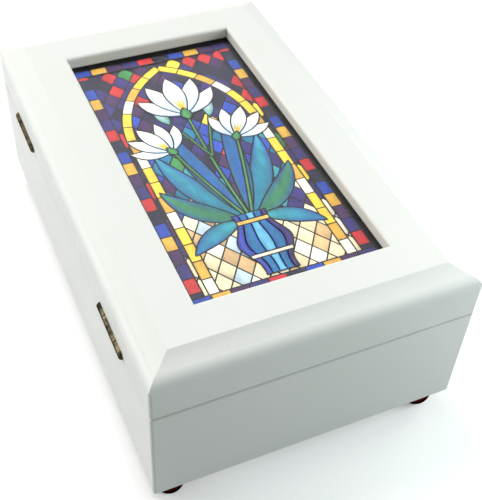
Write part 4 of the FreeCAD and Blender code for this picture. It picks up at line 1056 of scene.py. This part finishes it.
def makePins():
    # each pin is a tapered pair of rings, closed at both ends, placed by its row and angle
    shape = pinShape
    low, high = nodeBox("cylinder_tube")
    axis, drum = (low + high) / 2, (high[2] - low[2]) / 2
    rows, perRow, n = shape["rows"], shape["perRow"], shape["sides"]
    count = rows * perRow
    jitter = np.random.default_rng(shape["seed"]).uniform(*shape["spread"], count)
    angle = (2 * np.pi * ((np.tile(np.arange(perRow), rows) + jitter) / perRow))[:, None]
    pitch = (high[0] - low[0] - 2 * shape["endInset"]) / (rows - 1)
    x = (low[0] + shape["endInset"] + np.repeat(np.arange(rows), perRow) * pitch)[:, None]
    turn = np.linspace(0, 2 * np.pi, n, endpoint=False)[None]
    rings = []
    for out, wide in ((-shape["sunk"], shape["radius"]), (shape["height"], shape["tip"])):
        reach, side = drum + out, wide * np.sin(turn)
        y = axis[1] + reach * np.cos(angle) - side * np.sin(angle)
        z = axis[2] + reach * np.sin(angle) + side * np.cos(angle)
        rings.append(np.stack([x + wide * np.cos(turn), y, z], -1))
    points = np.stack(rings, 1).reshape(-1, 3)
    k = np.arange(n)
    first = (np.arange(count) * 2 * n)[:, None]
    quad = np.stack([k, (k + 1) % n, (k + 1) % n + n, k + n], 1)
    walls = (quad[None] + first[:, :, None]).reshape(-1, 4)
    tips = k[None] + n + first
    mesh = makeMesh("tunePins", points, walls.tolist() + tips.tolist() + (tips - n).tolist(), smooth=False)
    closePoles(mesh)
    addPiece("tune_pins", mesh, looks["steel"], "cylinder")
    print("tune pins:", count)


makePins()


# stage: pale floor, white to the camera and a quieter grey to the light that bounces

stageLook = {
    "size": 6.0, "seen": (0.93, 0.93, 0.93), "bounced": (0.335, 0.345, 0.34), "roughness": 0.9,
    "gloss": 0.1, "lift": 0.3, "fade": (0.45, 1.5), "sky": (0.91, 1.0, 0.975), "skyLevel": 0.315,
    "white": (1, 1, 1),
}


def seenDirectly(tree):
    path = addNode(tree, "LightPath").outputs
    straight = doMath(tree, "ADD", path["Is Camera Ray"], path["Is Glossy Ray"])
    return doMath(tree, "ADD", straight, path["Is Transmission Ray"], True)


def makeStage():
    # a square floor that glows more with distance from the box, so it meets the white sky without a line
    look, half = stageLook, stageLook["size"] / 2
    corner = np.array([(-half, -half, 0), (half, -half, 0), (half, half, 0), (-half, half, 0)])
    material, tree, shader = newMaterial("paleFloor", Roughness=look["roughness"],
                                         Specular_IOR_Level=look["gloss"], Emission_Color=look["white"])
    away = addNode(tree, "VectorMath", {0: objectPlace(tree)}, operation="LENGTH").outputs["Value"]
    glow = remap(tree, away, *look["fade"], look["lift"], 1.0)
    seen = seenDirectly(tree)
    dress(shader, Base_Color=mixColour(tree, seen, look["bounced"], look["seen"]),
          Emission_Strength=multiply(tree, seen, glow))
    floor = newObject("floor", makeMesh("floor", corner, [(0, 1, 2, 3)], smooth=False))
    floor.data.materials.append(material)
    world = bpy.data.worlds.new("studio")
    scene.world = world
    world.use_nodes = True
    tree = world.node_tree
    seen = seenDirectly(tree)
    dress(tree.nodes["Background"], Color=mixColour(tree, seen, look["sky"], look["white"]),
          Strength=remap(tree, seen, 0.0, 1.0, look["skyLevel"], 1.0))


def aimed(place, aim):
    place = Vector(place)
    turn = (Vector(aim) - place).to_track_quat("-Z", "Y").to_matrix().to_4x4()
    return Matrix.Translation(place) @ turn


# a lamp is its place, aim, size, power and tint
lamps = {
    "keyAbove": ((-0.24, 0.5, 1.11), (0, 0, 0.05), 0.55, 7.9, (1.0, 0.975, 0.94)),
    "sideLeft": ((-1.0, 0.55, 0.35), (0, 0, 0.05), 0.6, 5.3, (0.985, 1.0, 0.995)),
    "sideRight": ((1.5, 0.4, 1.05), (0, 0, 0.05), 0.8, 4.8, (1.0, 0.99, 0.96)),
    "fillRight": ((0.26, -0.19, 0.16), (0.06, -0.1, 0.05), 0.12, 0.46, (0.87, 1.0, 1.0)),
}


def makeLamps():
    for name, (place, aim, size, power, tint) in lamps.items():
        light = bpy.data.lights.new(name, "AREA")
        light.shape = "SQUARE"
        light.size, light.energy, light.color = size, power, tint
        newObject(name, light).matrix_world = aimed(place, aim)


view = {
    "place": (-0.11322, -0.26351, 0.31513), "aim": (0.00322, -0.02510, 0.043), "roll": 3.49,
    "focalPixels": 912.3, "imagePixels": (482, 500), "nearest": 0.01,
}


def makeCamera():
    data = bpy.data.cameras.new("photoView")
    data.lens = view["focalPixels"] * data.sensor_width / max(view["imagePixels"])
    data.clip_start = view["nearest"]
    camera = newObject("photoView", data)
    roll = Matrix.Rotation(math.radians(view["roll"]), 4, "Z")
    camera.matrix_world = aimed(view["place"], view["aim"]) @ roll
    scene.camera = camera


makeStage()
makeLamps()
makeCamera()
print("stage, lamps and camera set")
